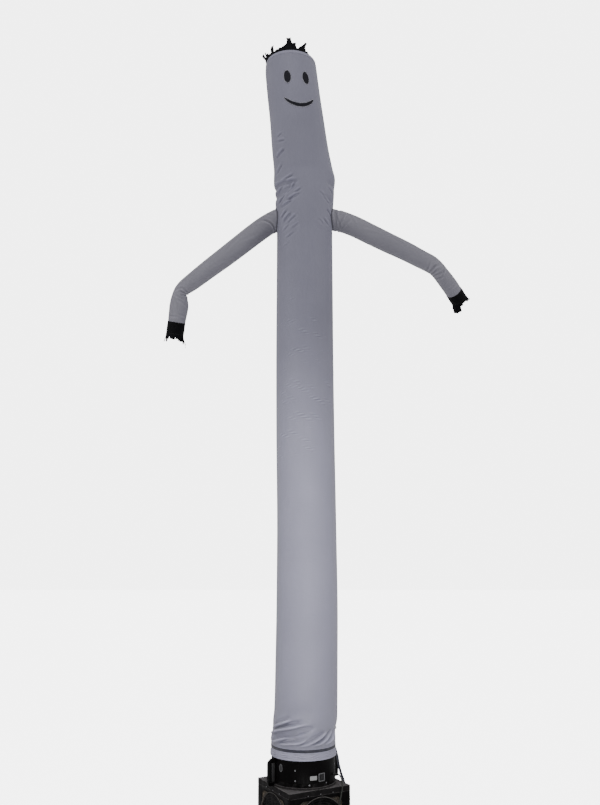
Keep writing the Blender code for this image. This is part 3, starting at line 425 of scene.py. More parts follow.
def linkPiece(name, mesh, material=None, body="root"):
    piece = bpy.data.objects.new(name, mesh)
    bpy.context.scene.collection.objects.link(piece)
    if material:
        mesh.materials.clear()
        mesh.materials.append(material)
    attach(piece, body)
    return piece


def dress(name, mesh, material, slot, *nodes):
    piece = linkPiece(name, mesh, material)
    if nodes:
        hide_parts(*nodes)
    return piece


def meshFrom(name, points, faces, smooth=True, sharpAngle=None):
    mesh = bpy.data.meshes.new(name)
    mesh.from_pydata([tuple(p) for p in points], [], faces)
    mesh.validate()
    if smooth:
        mesh.shade_smooth()
    if sharpAngle:
        mesh.set_sharp_from_angle(angle=math.radians(sharpAngle))
    return mesh


def faceOutwards(mesh):
    shape = bmesh.new()
    shape.from_mesh(mesh)
    bmesh.ops.remove_doubles(shape, verts=shape.verts, dist=1e-6)
    bmesh.ops.recalc_face_normals(shape, faces=shape.faces)
    shape.to_mesh(mesh)
    shape.free()


def gridFaces(rows, sides, start=0, inside=False):
    row, side = np.meshgrid(np.arange(rows - 1), np.arange(sides), indexing="ij")
    nextSide = (side + 1) % sides
    a, b = start + row * sides, start + (row + 1) * sides
    corners = (a + side, a + nextSide, b + nextSide, b + side)
    if inside:
        corners = (a + nextSide, a + side, b + side, b + nextSide)
    return np.stack(corners, axis=-1).reshape(-1, 4)


def closedFaces(rows, sides):
    return [*(tuple(f) for f in gridFaces(rows, sides).tolist()), tuple(reversed(range(sides))),
        tuple(range((rows - 1) * sides, rows * sides))]


def smoothTo(mesh, sharpAngle):
    faceOutwards(mesh)
    mesh.shade_smooth()
    mesh.set_sharp_from_angle(angle=math.radians(sharpAngle))


def clothTube(name, outer, inner, along, around, sharpAngle=None):
    # outer and inner are arrays of rings, each ring anticlockwise about the way the rings go;
    # along is each outer ring's distance and around the tube's girth, for the UV map
    rows, sides = outer.shape[:2]
    innerRows = inner.shape[0]
    points = np.concatenate((outer.reshape(-1, 3), inner.reshape(-1, 3)))
    start = rows * sides
    outside = gridFaces(rows, sides)
    lining = gridFaces(innerRows, sides, start, True)
    side = np.arange(sides)
    nextSide = (side + 1) % sides
    foot = np.stack((nextSide, side, start + side, start + nextSide), axis=-1)
    topOut, topIn = (rows - 1) * sides, start + (innerRows - 1) * sides
    head = np.stack((topOut + side, topOut + nextSide, topIn + nextSide, topIn + side), axis=-1)
    faces = np.concatenate((outside, lining, foot, head))
    mesh = bpy.data.meshes.new(name)
    mesh.from_pydata(points.tolist(), [], faces.tolist())

    innerAlong = np.linspace(along[0], along[-1], innerRows)
    turn = np.stack((side, side + 1, side + 1, side), axis=-1) / sides * around
    back = np.stack((side + 1, side, side, side + 1), axis=-1) / sides * around

    def rowsOf(heights, across):
        low, high = heights[:-1], heights[1:]
        v = np.stack((low, low, high, high), axis=-1)[:, None, :].repeat(sides, axis=1)
        u = across[None].repeat(len(low), axis=0)
        return np.stack((u, v), axis=-1).reshape(-1, 2)

    rim = np.stack((back, np.zeros_like(back) + along[0]), axis=-1).reshape(-1, 2)
    topRim = np.stack((turn, np.zeros_like(turn) + along[-1]), axis=-1).reshape(-1, 2)
    uv = np.concatenate((rowsOf(np.asarray(along), turn), rowsOf(innerAlong, back), rim, topRim))
    layer = mesh.uv_layers.new(name="UVMap")
    layer.data.foreach_set("uv", uv.astype(np.float32).ravel())
    mesh.shade_smooth()
    if sharpAngle:
        mesh.set_sharp_from_angle(angle=math.radians(sharpAngle))
    return mesh


def lathe(name, profile, sides=96, closed=True, sharpAngle=35.0, centre=(0.0, 0.0),
        startTurn=-90.0):
    # profile is (radius, height) pairs, anticlockwise seen with +radius right and +height up
    points = []
    for i in range(sides):
        turn = math.radians(startTurn + 360.0 * i / sides)
        points += [(centre[0] + r * math.cos(turn), centre[1] + r * math.sin(turn), h) for r,
            h in profile]
    count = len(profile)
    faces = []
    last = count if closed else count - 1
    for i in range(sides):
        a, b = i * count, (i + 1) % sides * count
        for k in range(last):
            m = (k + 1) % count
            faces.append((a + k, b + k, b + m, a + m))
    mesh = meshFrom(name, points, faces)
    smoothTo(mesh, sharpAngle)
    return mesh


def roundedLoop(corners, radius, steps=5):
    # rounds each corner of a plan outline; radius may be one number or one per corner
    loop = []
    count = len(corners)
    for k, corner in enumerate(corners):
        here = Vector(corner)
        before, after = Vector(corners[k - 1]), Vector(corners[(k + 1) % count])
        size = radius[k] if isinstance(radius, (list, tuple)) else radius
        into, out = (before - here).normalized(), (after - here).normalized()
        half = into.angle(out) / 2
        back = size / math.tan(half)
        first, last = here + into * back, here + out * back
        centre = here + (into + out).normalized() * (size / math.sin(half))
        fromCentre, toCentre = first - centre, last - centre
        for n in range(steps + 1):
            t = n / steps
            ray = fromCentre * (1 - t) + toCentre * t
            loop.append(centre + ray.normalized() * size)
    return loop


def prism(name, outer, place, thick, holes=(), bevel=0.0, bevelSteps=2, sharpAngle=35.0):
    # outer and holes are plan outlines; place(a, b, depth) gives a world point
    shape = bmesh.new()
    rims = []
    for loop in (outer, *holes):
        verts = [shape.verts.new(place(p[0], p[1], 0.0)) for p in loop]
        edges = [shape.edges.new((verts[i], verts[(i + 1) % len(verts)]))
            for i in range(len(verts))]
        rims += edges
    filled = bmesh.ops.triangle_fill(shape, use_beauty=True, use_dissolve=False, edges=rims)
    faces = [f for f in filled["geom"] if isinstance(f, bmesh.types.BMFace)]
    grown = bmesh.ops.extrude_face_region(shape, geom=faces)
    shift = Vector(place(0.0, 0.0, thick)) - Vector(place(0.0, 0.0, 0.0))
    moved = [v for v in grown["geom"] if isinstance(v, bmesh.types.BMVert)]
    bmesh.ops.translate(shape, verts=moved, vec=shift)
    bmesh.ops.recalc_face_normals(shape, faces=shape.faces)
    if bevel:
        sharp = [e for e in shape.edges if len(e.link_faces) == 2
            and e.calc_face_angle(0.0) > math.radians(50.0)]
        bmesh.ops.bevel(shape, geom=sharp, offset=bevel, segments=bevelSteps, profile=0.5,
            affect="EDGES", clamp_overlap=True)
    mesh = bpy.data.meshes.new(name)
    shape.to_mesh(mesh)
    shape.free()
    mesh.shade_smooth()
    mesh.set_sharp_from_angle(angle=math.radians(sharpAngle))
    return mesh


def tubeAlong(name, points, radius, sides=10, flat=1.0, closedEnds=True):
    # a round bar along points; flat squashes it along its own upright
    rings = []
    spots = [Vector(p) for p in points]
    up = upright
    for k, spot in enumerate(spots):
        forward = (spots[min(k + 1, len(spots) - 1)] - spots[max(k - 1, 0)]).normalized()
        across = forward.cross(up)
        if across.length < 0.05:
            across = forward.cross(Vector((1.0, 0.0, 0.0)))
        across.normalize()
        lift = across.cross(forward).normalized()
        rings.append([spot + across * (radius * math.cos(2 * math.pi * i / sides)) + lift
            * (radius * flat * math.sin(2 * math.pi * i / sides)) for i in range(sides)])
    flatPoints = [p for ring in rings for p in ring]
    faces = [tuple(f) for f in gridFaces(len(rings), sides).tolist()]
    if closedEnds:
        faces.append(tuple(reversed(range(sides))))
        end = (len(rings) - 1) * sides
        faces.append(tuple(range(end, end + sides)))
    mesh = meshFrom(name, flatPoints, faces)
    smoothTo(mesh, 50.0)
    return mesh


def joinMeshes(name, meshes):
    shape = bmesh.new()
    for mesh in meshes:
        shape.from_mesh(mesh)
    joined = bpy.data.meshes.new(name)
    shape.to_mesh(joined)
    shape.free()
    joined.shade_smooth()
    joined.set_sharp_from_angle(angle=math.radians(38.0))
    return joined


def faceWays(azimuth):
    angle = math.radians(azimuth)
    outward = Vector((math.cos(angle), math.sin(angle), 0.0))
    return outward, Vector((-outward.y, outward.x, 0.0))


# Geometry Nodes: stitches along a seam, bolt heads on a list of places, and wire guards

def newTree(name, sizes):
    tree = bpy.data.node_groups.new(name, "GeometryNodeTree")
    tree.interface.new_socket(name="Geometry", in_out="INPUT", socket_type="NodeSocketGeometry")
    for label, kind, value in sizes:
        socket = tree.interface.new_socket(name=label, in_out="INPUT", socket_type=kind)
        socket.default_value = value
    tree.interface.new_socket(name="Geometry", in_out="OUTPUT", socket_type="NodeSocketGeometry")
    source = tree.nodes.new("NodeGroupInput")
    target = tree.nodes.new("NodeGroupOutput")
    return tree, source, target


def endTree(tree, target, geometry, material, smooth=True):
    real = addNode(tree, "GeometryNodeRealizeInstances", {"Geometry": geometry})
    shaded = addNode(tree, "GeometryNodeSetShadeSmooth", {"Geometry": real.outputs["Geometry"],
        "Shade Smooth": smooth})
    done = addNode(tree, "GeometryNodeSetMaterial", {"Geometry": shaded.outputs[0],
        "Material": material})
    tree.links.new(done.outputs["Geometry"], target.inputs[0])


def growPiece(name, seed, tree, values, material):
    # seed is a plain mesh that the tree grows on; the result is a plain mesh of its own
    start = bpy.data.objects.new(name + "Seed", seed)
    bpy.context.scene.collection.objects.link(start)
    grower = start.modifiers.new("grow", "NODES")
    grower.node_group = tree
    for item in tree.interface.items_tree:
        if item.item_type == "SOCKET" and item.in_out == "INPUT" and item.name in values:
            grower[item.identifier] = values[item.name]
    bpy.context.view_layer.update()
    grown = start.evaluated_get(bpy.context.evaluated_depsgraph_get())
    mesh = bpy.data.meshes.new_from_object(grown)
    start.modifiers.remove(grower)
    bpy.data.objects.remove(start, do_unlink=True)
    mesh.name = name
    return linkPiece(name, mesh, material)


def makeStitchTree(material):
    tree, source, target = newTree("stitchRow", (("Pitch", "NodeSocketFloat", 0.004),
        ("Stitch Length", "NodeSocketFloat", 0.003), ("Thread Radius", "NodeSocketFloat", 0.0005),
        ("Across", "NodeSocketBool", False)))
    grow = partial(addNode, tree)
    seam = grow("GeometryNodeMeshToCurve", {"Mesh": source.outputs["Geometry"]})
    spaced = grow("GeometryNodeResampleCurve", {"Curve": seam, "Length": source.outputs["Pitch"]},
        mode="LENGTH")
    stitch = grow("GeometryNodeMeshCylinder",
        {"Vertices": 5, "Radius": source.outputs["Thread Radius"],
        "Depth": source.outputs["Stitch Length"]})
    tangent = grow("GeometryNodeInputTangent").outputs["Tangent"]
    facing = grow("GeometryNodeInputNamedAttribute", {"Name": "facing"}, data_type="FLOAT_VECTOR")
    sideways = grow("ShaderNodeVectorMath", {0: tangent, 1: facing}, operation="CROSS_PRODUCT")
    heading = grow("GeometryNodeSwitch", {"Switch": source.outputs["Across"], "False": tangent,
        "True": sideways}, input_type="VECTOR")
    turned = grow("FunctionNodeAlignEulerToVector", {"Vector": heading.outputs["Output"]}, axis="Z")
    placed = grow("GeometryNodeInstanceOnPoints", {"Points": spaced, "Instance": stitch,
        "Rotation": turned})
    endTree(tree, target, placed, material)
    return tree


def makeBoltTree(material):
    tree, source, target = newTree("boltHeads", (("Head Radius", "NodeSocketFloat", 0.005),
        ("Head Height", "NodeSocketFloat", 0.003), ("Washer Radius", "NodeSocketFloat", 0.0065)))
    grow = partial(addNode, tree)
    head = grow("GeometryNodeMeshCylinder", {"Vertices": 6, "Radius": source.outputs["Head Radius"],
        "Depth": source.outputs["Head Height"]})
    half = grow("ShaderNodeMath", {0: source.outputs["Head Height"], 1: 0.5}, operation="MULTIPLY")
    liftHead = grow("ShaderNodeCombineXYZ", {"Z": grow("ShaderNodeMath", {0: half, 1: 0.0008},
        operation="ADD").outputs[0]})
    headUp = grow("GeometryNodeTransform", {"Geometry": head, "Translation": liftHead})
    dome = grow("GeometryNodeMeshUVSphere", {"Segments": 12, "Rings": 6,
        "Radius": source.outputs["Head Radius"]})
    domeHeight = grow("ShaderNodeMath", {0: source.outputs["Head Height"], 1: 0.0004},
        operation="ADD")
    domeUp = grow("GeometryNodeTransform", {"Geometry": dome, "Scale": (0.85, 0.85, 0.22),
        "Translation": grow("ShaderNodeCombineXYZ", {"Z": domeHeight}).outputs[0]})
    washer = grow("GeometryNodeMeshCylinder",
        {"Vertices": 16, "Radius": source.outputs["Washer Radius"], "Depth": 0.0012})
    washerUp = grow("GeometryNodeTransform", {"Geometry": washer, "Translation": (0.0, 0.0,
        0.0006)})
    bolt = grow("GeometryNodeJoinGeometry")
    for part in (headUp, domeUp, washerUp):
        tree.links.new(part.outputs["Geometry"], bolt.inputs["Geometry"])
    facing = grow("GeometryNodeInputNamedAttribute", {"Name": "facing"}, data_type="FLOAT_VECTOR")
    turned = grow("FunctionNodeAlignEulerToVector", {"Vector": facing}, axis="Z")
    spots = grow("GeometryNodeMeshToPoints", {"Mesh": source.outputs["Geometry"]})
    placed = grow("GeometryNodeInstanceOnPoints", {"Points": spots, "Instance": bolt,
        "Rotation": turned})
    endTree(tree, target, placed, material, smooth=False)
    return tree


def makeGuardTree(material):
    # rings and spokes of bent wire in the plane Z = 0, round the origin
    tree, source, target = newTree("wireGuard", (("Inner Radius", "NodeSocketFloat", 0.03),
        ("Ring Gap", "NodeSocketFloat", 0.02), ("Rings", "NodeSocketInt", 8),
        ("Spokes", "NodeSocketInt", 8), ("Outer Radius", "NodeSocketFloat", 0.18),
        ("Wire Radius", "NodeSocketFloat", 0.0016)))
    grow = partial(addNode, tree)
    line = grow("GeometryNodeMeshLine", {"Count": source.outputs["Rings"], "Offset": (0.0, 0.0,
        0.0)}, mode="OFFSET")
    index = grow("GeometryNodeInputIndex").outputs["Index"]
    growth = grow("ShaderNodeMath", {0: index, 1: source.outputs["Ring Gap"],
        2: source.outputs["Inner Radius"]}, operation="MULTIPLY_ADD")
    ring = grow("GeometryNodeCurvePrimitiveCircle", {"Resolution": 56, "Radius": 1.0})
    rings = grow("GeometryNodeInstanceOnPoints", {"Points": line, "Instance": ring,
        "Scale": growth})
    spokeSpots = grow("GeometryNodeMeshLine", {"Count": source.outputs["Spokes"],
        "Offset": (0.0, 0.0, 0.0)}, mode="OFFSET")
    share = grow("ShaderNodeMath", {0: 2 * math.pi, 1: source.outputs["Spokes"]},
        operation="DIVIDE")
    turn = grow("ShaderNodeMath", {0: grow("GeometryNodeInputIndex").outputs["Index"], 1: share,
        2: math.pi / 4}, operation="MULTIPLY_ADD")
    spoke = grow("GeometryNodeCurvePrimitiveLine",
        {"Start": grow("ShaderNodeCombineXYZ", {"X": source.outputs["Inner Radius"],
        "Z": 0.0026}).outputs[0], "End": grow("ShaderNodeCombineXYZ",
        {"X": source.outputs["Outer Radius"], "Z": 0.0026}).outputs[0]})
    spokes = grow("GeometryNodeInstanceOnPoints", {"Points": spokeSpots, "Instance": spoke,
        "Rotation": grow("ShaderNodeCombineXYZ", {"Z": turn}).outputs[0]})
    wires = grow("GeometryNodeJoinGeometry")
    tree.links.new(rings.outputs["Instances"], wires.inputs["Geometry"])
    tree.links.new(spokes.outputs["Instances"], wires.inputs["Geometry"])
    real = grow("GeometryNodeRealizeInstances", {"Geometry": wires})
    section = grow("GeometryNodeCurvePrimitiveCircle",
        {"Resolution": 6, "Radius": source.outputs["Wire Radius"]})
    solid = grow("GeometryNodeCurveToMesh", {"Curve": real, "Profile Curve": section,
        "Fill Caps": True})
    endTree(tree, target, solid, material)
    return tree


def makeScreenTree(material):
    # every edge of the seed mesh becomes a wire
    tree, source, target = newTree("wireScreen", (("Wire Radius", "NodeSocketFloat", 0.0008),))
    grow = partial(addNode, tree)
    lines = grow("GeometryNodeMeshToCurve", {"Mesh": source.outputs["Geometry"]})
    section = grow("GeometryNodeCurvePrimitiveCircle",
        {"Resolution": 4, "Radius": source.outputs["Wire Radius"]})
    solid = grow("GeometryNodeCurveToMesh", {"Curve": lines, "Profile Curve": section,
        "Fill Caps": True})
    endTree(tree, target, solid, material)
    return tree


def seamSeed(name, runs):
    # runs are lists of (point, facing); a closed run repeats its first point at the end
    points, facings, edges = [], [], []
    for run in runs:
        first = len(points)
        points += [tuple(p) for p, _ in run]
        facings += [tuple(f) for _, f in run]
        edges += [(first + i, first + i + 1) for i in range(len(run) - 1)]
    mesh = bpy.data.meshes.new(name)
    mesh.from_pydata(points, edges, [])
    layer = mesh.attributes.new("facing", "FLOAT_VECTOR", "POINT")
    layer.data.foreach_set("vector", np.asarray(facings, dtype=np.float32).ravel())
    return mesh


def spotSeed(name, spots):
    return seamSeed(name, [[spot] for spot in spots])


# The mains lead comes first: from the gland over the lid's edge, down, and into its coil

lead = {
    "length": 1.83, "diameter": 0.009, "exit": (0.2292, -0.0945, 0.5635),
    "route": (
        (0.2292, -0.0945, 0.5635), (0.24, -0.099, 0.5635), (0.254, -0.105, 0.558),
        (0.265, -0.113, 0.543), (0.2705, -0.122, 0.526), (0.2735, -0.133, 0.508),
        (0.274, -0.141, 0.487), (0.27, -0.1455, 0.465), (0.264, -0.15, 0.438),
        (0.256, -0.1545, 0.4), (0.2535, -0.159, 0.34), (0.252, -0.1625, 0.26),
        (0.2515, -0.164, 0.18), (0.252, -0.1645, 0.115), (0.2545, -0.164, 0.065),
        (0.262, -0.162, 0.03), (0.2705, -0.1625, 0.0125), (0.279, -0.1665, 0.0058),
        (0.2875, -0.174, 0.005), (0.298, -0.1821, 0.005), (0.3105, -0.1885, 0.005),
    ),
    "coilCentre": (0.392, -0.23), "coilIn": 153.0, "coilOut": 27.0, "bend": 0.036,
    "coilRadii": (0.054, 0.0455, 0.05, 0.052), "coilHeights": (0.005, 0.0052, 0.0135, 0.015),
    "plugAt": 0.086,
}


def polar(centre, radius, degrees, height):
    turn = math.radians(degrees)
    return Vector((centre[0] + radius * math.cos(turn), centre[1] + radius * math.sin(turn),
        height))


def coilRoute():
    centre, bend = lead["coilCentre"], lead["bend"]
    radiusIn, radiusOut = lead["coilRadii"][0], lead["coilRadii"][-1]
    points = []

    def swing(radius, lineAngle, side, height, leaving):
        # the arc that joins the straight run at lineAngle to the coil's own circle
        foot = math.sqrt(radius * radius + 2 * radius * bend)
        offset = math.degrees(math.asin(bend / (radius + bend)))
        pivot = polar(centre, radius + bend, lineAngle + side * offset, height)
        start = polar(centre, foot, lineAngle, height)
        touch = polar(centre, radius, lineAngle + side * offset, height)
        a0 = math.atan2(start.y - pivot.y, start.x - pivot.x)
        a1 = math.atan2(touch.y - pivot.y, touch.x - pivot.x)
        sweep = (a1 - a0 + math.pi) % (2 * math.pi) - math.pi
        arc = [pivot + Vector((bend * math.cos(a0 + sweep * n / 4),
            bend * math.sin(a0 + sweep * n / 4), 0)) for n in range(5)]
        return arc[::-1] if leaving else arc, lineAngle + side * offset

    arcIn, angleIn = swing(radiusIn, lead["coilIn"], 1.0, lead["coilHeights"][0], False)
    arcOut, angleOut = swing(radiusOut, lead["coilOut"], -1.0, lead["coilHeights"][-1], True)
    sweep = (angleOut - angleIn) % 360.0 + 3 * 360.0
    points += arcIn
    steps = int(sweep / 24.0)
    keys = np.linspace(0.0, 1.0, len(lead["coilRadii"]))
    for n in range(1, steps):
        t = n / steps
        radius = float(np.interp(t, keys, lead["coilRadii"]))
        height = float(np.interp(t, (0.0, 0.45, 0.62, 1.0), lead["coilHeights"]))
        points.append(polar(centre, radius, angleIn + sweep * t, height))
    drop = (0.0, 0.0, 0.0008, 0.0024, 0.0044)
    points += [p - raised(d) for p, d in zip(arcOut, drop)]
    points.append(polar(centre, lead["plugAt"] + 0.006, lead["coilOut"], 0.0085))
    return points


def makeLead():
    route = [Vector(p) for p in lead["route"]] + coilRoute()
    curve = bpy.data.curves.new("mainsLead", "CURVE")
    curve.dimensions = "3D"
    curve.bevel_depth = lead["diameter"] / 2
    curve.bevel_resolution = 4
    curve.resolution_u = 6
    curve.use_fill_caps = True
    spline = curve.splines.new("BEZIER")
    spline.bezier_points.add(len(route) - 1)
    for knot, place in zip(spline.bezier_points, route):
        knot.co = place
        knot.handle_left_type = knot.handle_right_type = "AUTO"
    curve.materials.append(cordRubber)
    cord = bpy.data.objects.new("mainsLead", curve)
    bpy.context.scene.collection.objects.link(cord)
    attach(cord, "root")
    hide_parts("power_cord", "cord_coil")
    return cord


def makePlug():
    # a moulded plug with a ribbed strain relief, two blades and an earth pin
    centre, turn = lead["coilCentre"], lead["coilOut"]
    outward, sideways = faceWays(turn)
    start = Vector((centre[0], centre[1], 0.0)) + outward * (lead["plugAt"] - 0.014)

    def ring(run, halfWide, halfHigh, height, roundness=0.55, count=20):
        points = []
        for i in range(count):
            a = 2 * math.pi * i / count
            c, s = math.cos(a), math.sin(a)
            x = math.copysign(abs(c) ** roundness, c) * halfWide
            z = math.copysign(abs(s) ** roundness, s) * halfHigh
            points.append(start + outward * run + sideways * x + raised(height + z))
        return points

    stations = [(0.0, 0.0052, 0.0052, 0.009, 1.0), (0.003, 0.0056, 0.0056, 0.0088, 1.0)]
    for k in range(4):
        run = 0.004 + 0.0032 * k
        stations += [(run, 0.0062 + 0.0003 * k, 0.0062, 0.0086, 1.0),
            (run + 0.0018, 0.0054 + 0.0003 * k, 0.0054, 0.0085, 1.0)]
    stations += [(0.0175, 0.0085, 0.0072, 0.0082, 0.75), (0.021, 0.011, 0.008, 0.0082, 0.55),
        (0.036, 0.0122, 0.0082, 0.0084, 0.45), (0.0385, 0.0115, 0.0076, 0.0084, 0.45)]
    rings = [ring(*station) for station in stations]
    points = [p for r in rings for p in r]
    count = len(rings[0])
    faces = closedFaces(len(rings), count)
    body = meshFrom("plugBody", points, faces)
    smoothTo(body, 50.0)
    plug = dress("leadPlug", body, plugRubber, "cord_rubber", "cord_plug")

    pins = []
    for shift, lift, wide in ((-0.0063, 0.001, 0.0008), (0.0063, 0.001, 0.0008),
            (0.0, -0.0035, 0.0022)):
        outline = roundedLoop([(0.0, -0.003), (0.0155, -0.003), (0.0155, 0.003), (0.0, 0.003)],
            0.0012, 3)
        half = 0.003 if wide < 0.001 else 0.0022

        def pinPlace(a, b, depth, shift=shift, lift=lift, half=half, wide=wide):
            return (start + outward * (0.0382 + a) + sideways * (shift - wide + depth)
                + raised(0.0085 + lift + b * half / 0.003))
        pins.append(prism("plugPin", outline, pinPlace, 2 * wide, bevel=0.0002))
    pinPiece = dress("plugPins", joinMeshes("plugPins", pins), brassPlate, "bright_bolt")

    tieTurn = 265.0
    radius = 0.0502
    middle = polar(centre, radius, tieTurn, 0.0)
    radial, along = faceWays(tieTurn)
    section = roundedLoop([(-0.012, 0.0004), (0.012, 0.0004), (0.012, 0.0212), (-0.012, 0.0212)],
        0.005, 4)
    inner = roundedLoop([(-0.0108, 0.0013), (0.0108, 0.0013), (0.0108, 0.0202), (-0.0108, 0.0202)],
        0.0042, 4)

    def tiePlace(a, b, depth):
        return middle + radial * a + along * (depth - 0.008) + raised(b)
    tie = dress("coilTie", prism("coilTie", section, tiePlace, 0.016, holes=(inner,)), webbing,
        "webbing")
    return plug, pinPiece, tie


def makeGland():
    gland = {"azimuth": -22.5, "height": 0.5635}
    angle = math.radians(gland["azimuth"])
    outward = Vector((math.cos(angle), math.sin(angle), 0.0))
    base = outward * 0.2306 + raised(gland["height"])
    tip = Vector(lead["exit"]) + (Vector(lead["exit"]) - base).normalized() * 0.014
    forward = (tip - base).normalized()
    side = forward.cross(upright).normalized()
    up = side.cross(forward)
    profile = [(0.0, 0.0098), (0.0025, 0.0098), (0.0025, 0.0084), (0.0062, 0.0084)]
    for k in range(5):
        run = 0.0075 + k * 0.0026
        profile += [(run, 0.0078 - 0.0005 * k), (run + 0.0014, 0.0066 - 0.0004 * k)]
    profile += [(0.0222, 0.0052)]
    points, count = [], 20
    for run, radius in profile:
        points += [base + forward * run + side * (radius * math.cos(2 * math.pi * i / count)) + up
            * (radius * math.sin(2 * math.pi * i / count)) for i in range(count)]
    faces = closedFaces(len(profile), count)
    mesh = meshFrom("leadGland", points, faces)
    smoothTo(mesh, 40.0)
    dress("leadGland", mesh, plugRubber, "cord_rubber", "cable_gland")


print("mains lead")
mainsLead = makeLead()
leadPieces = makePlug()
makeGland()


# The tube of the figure, from the same table of heights as its solid

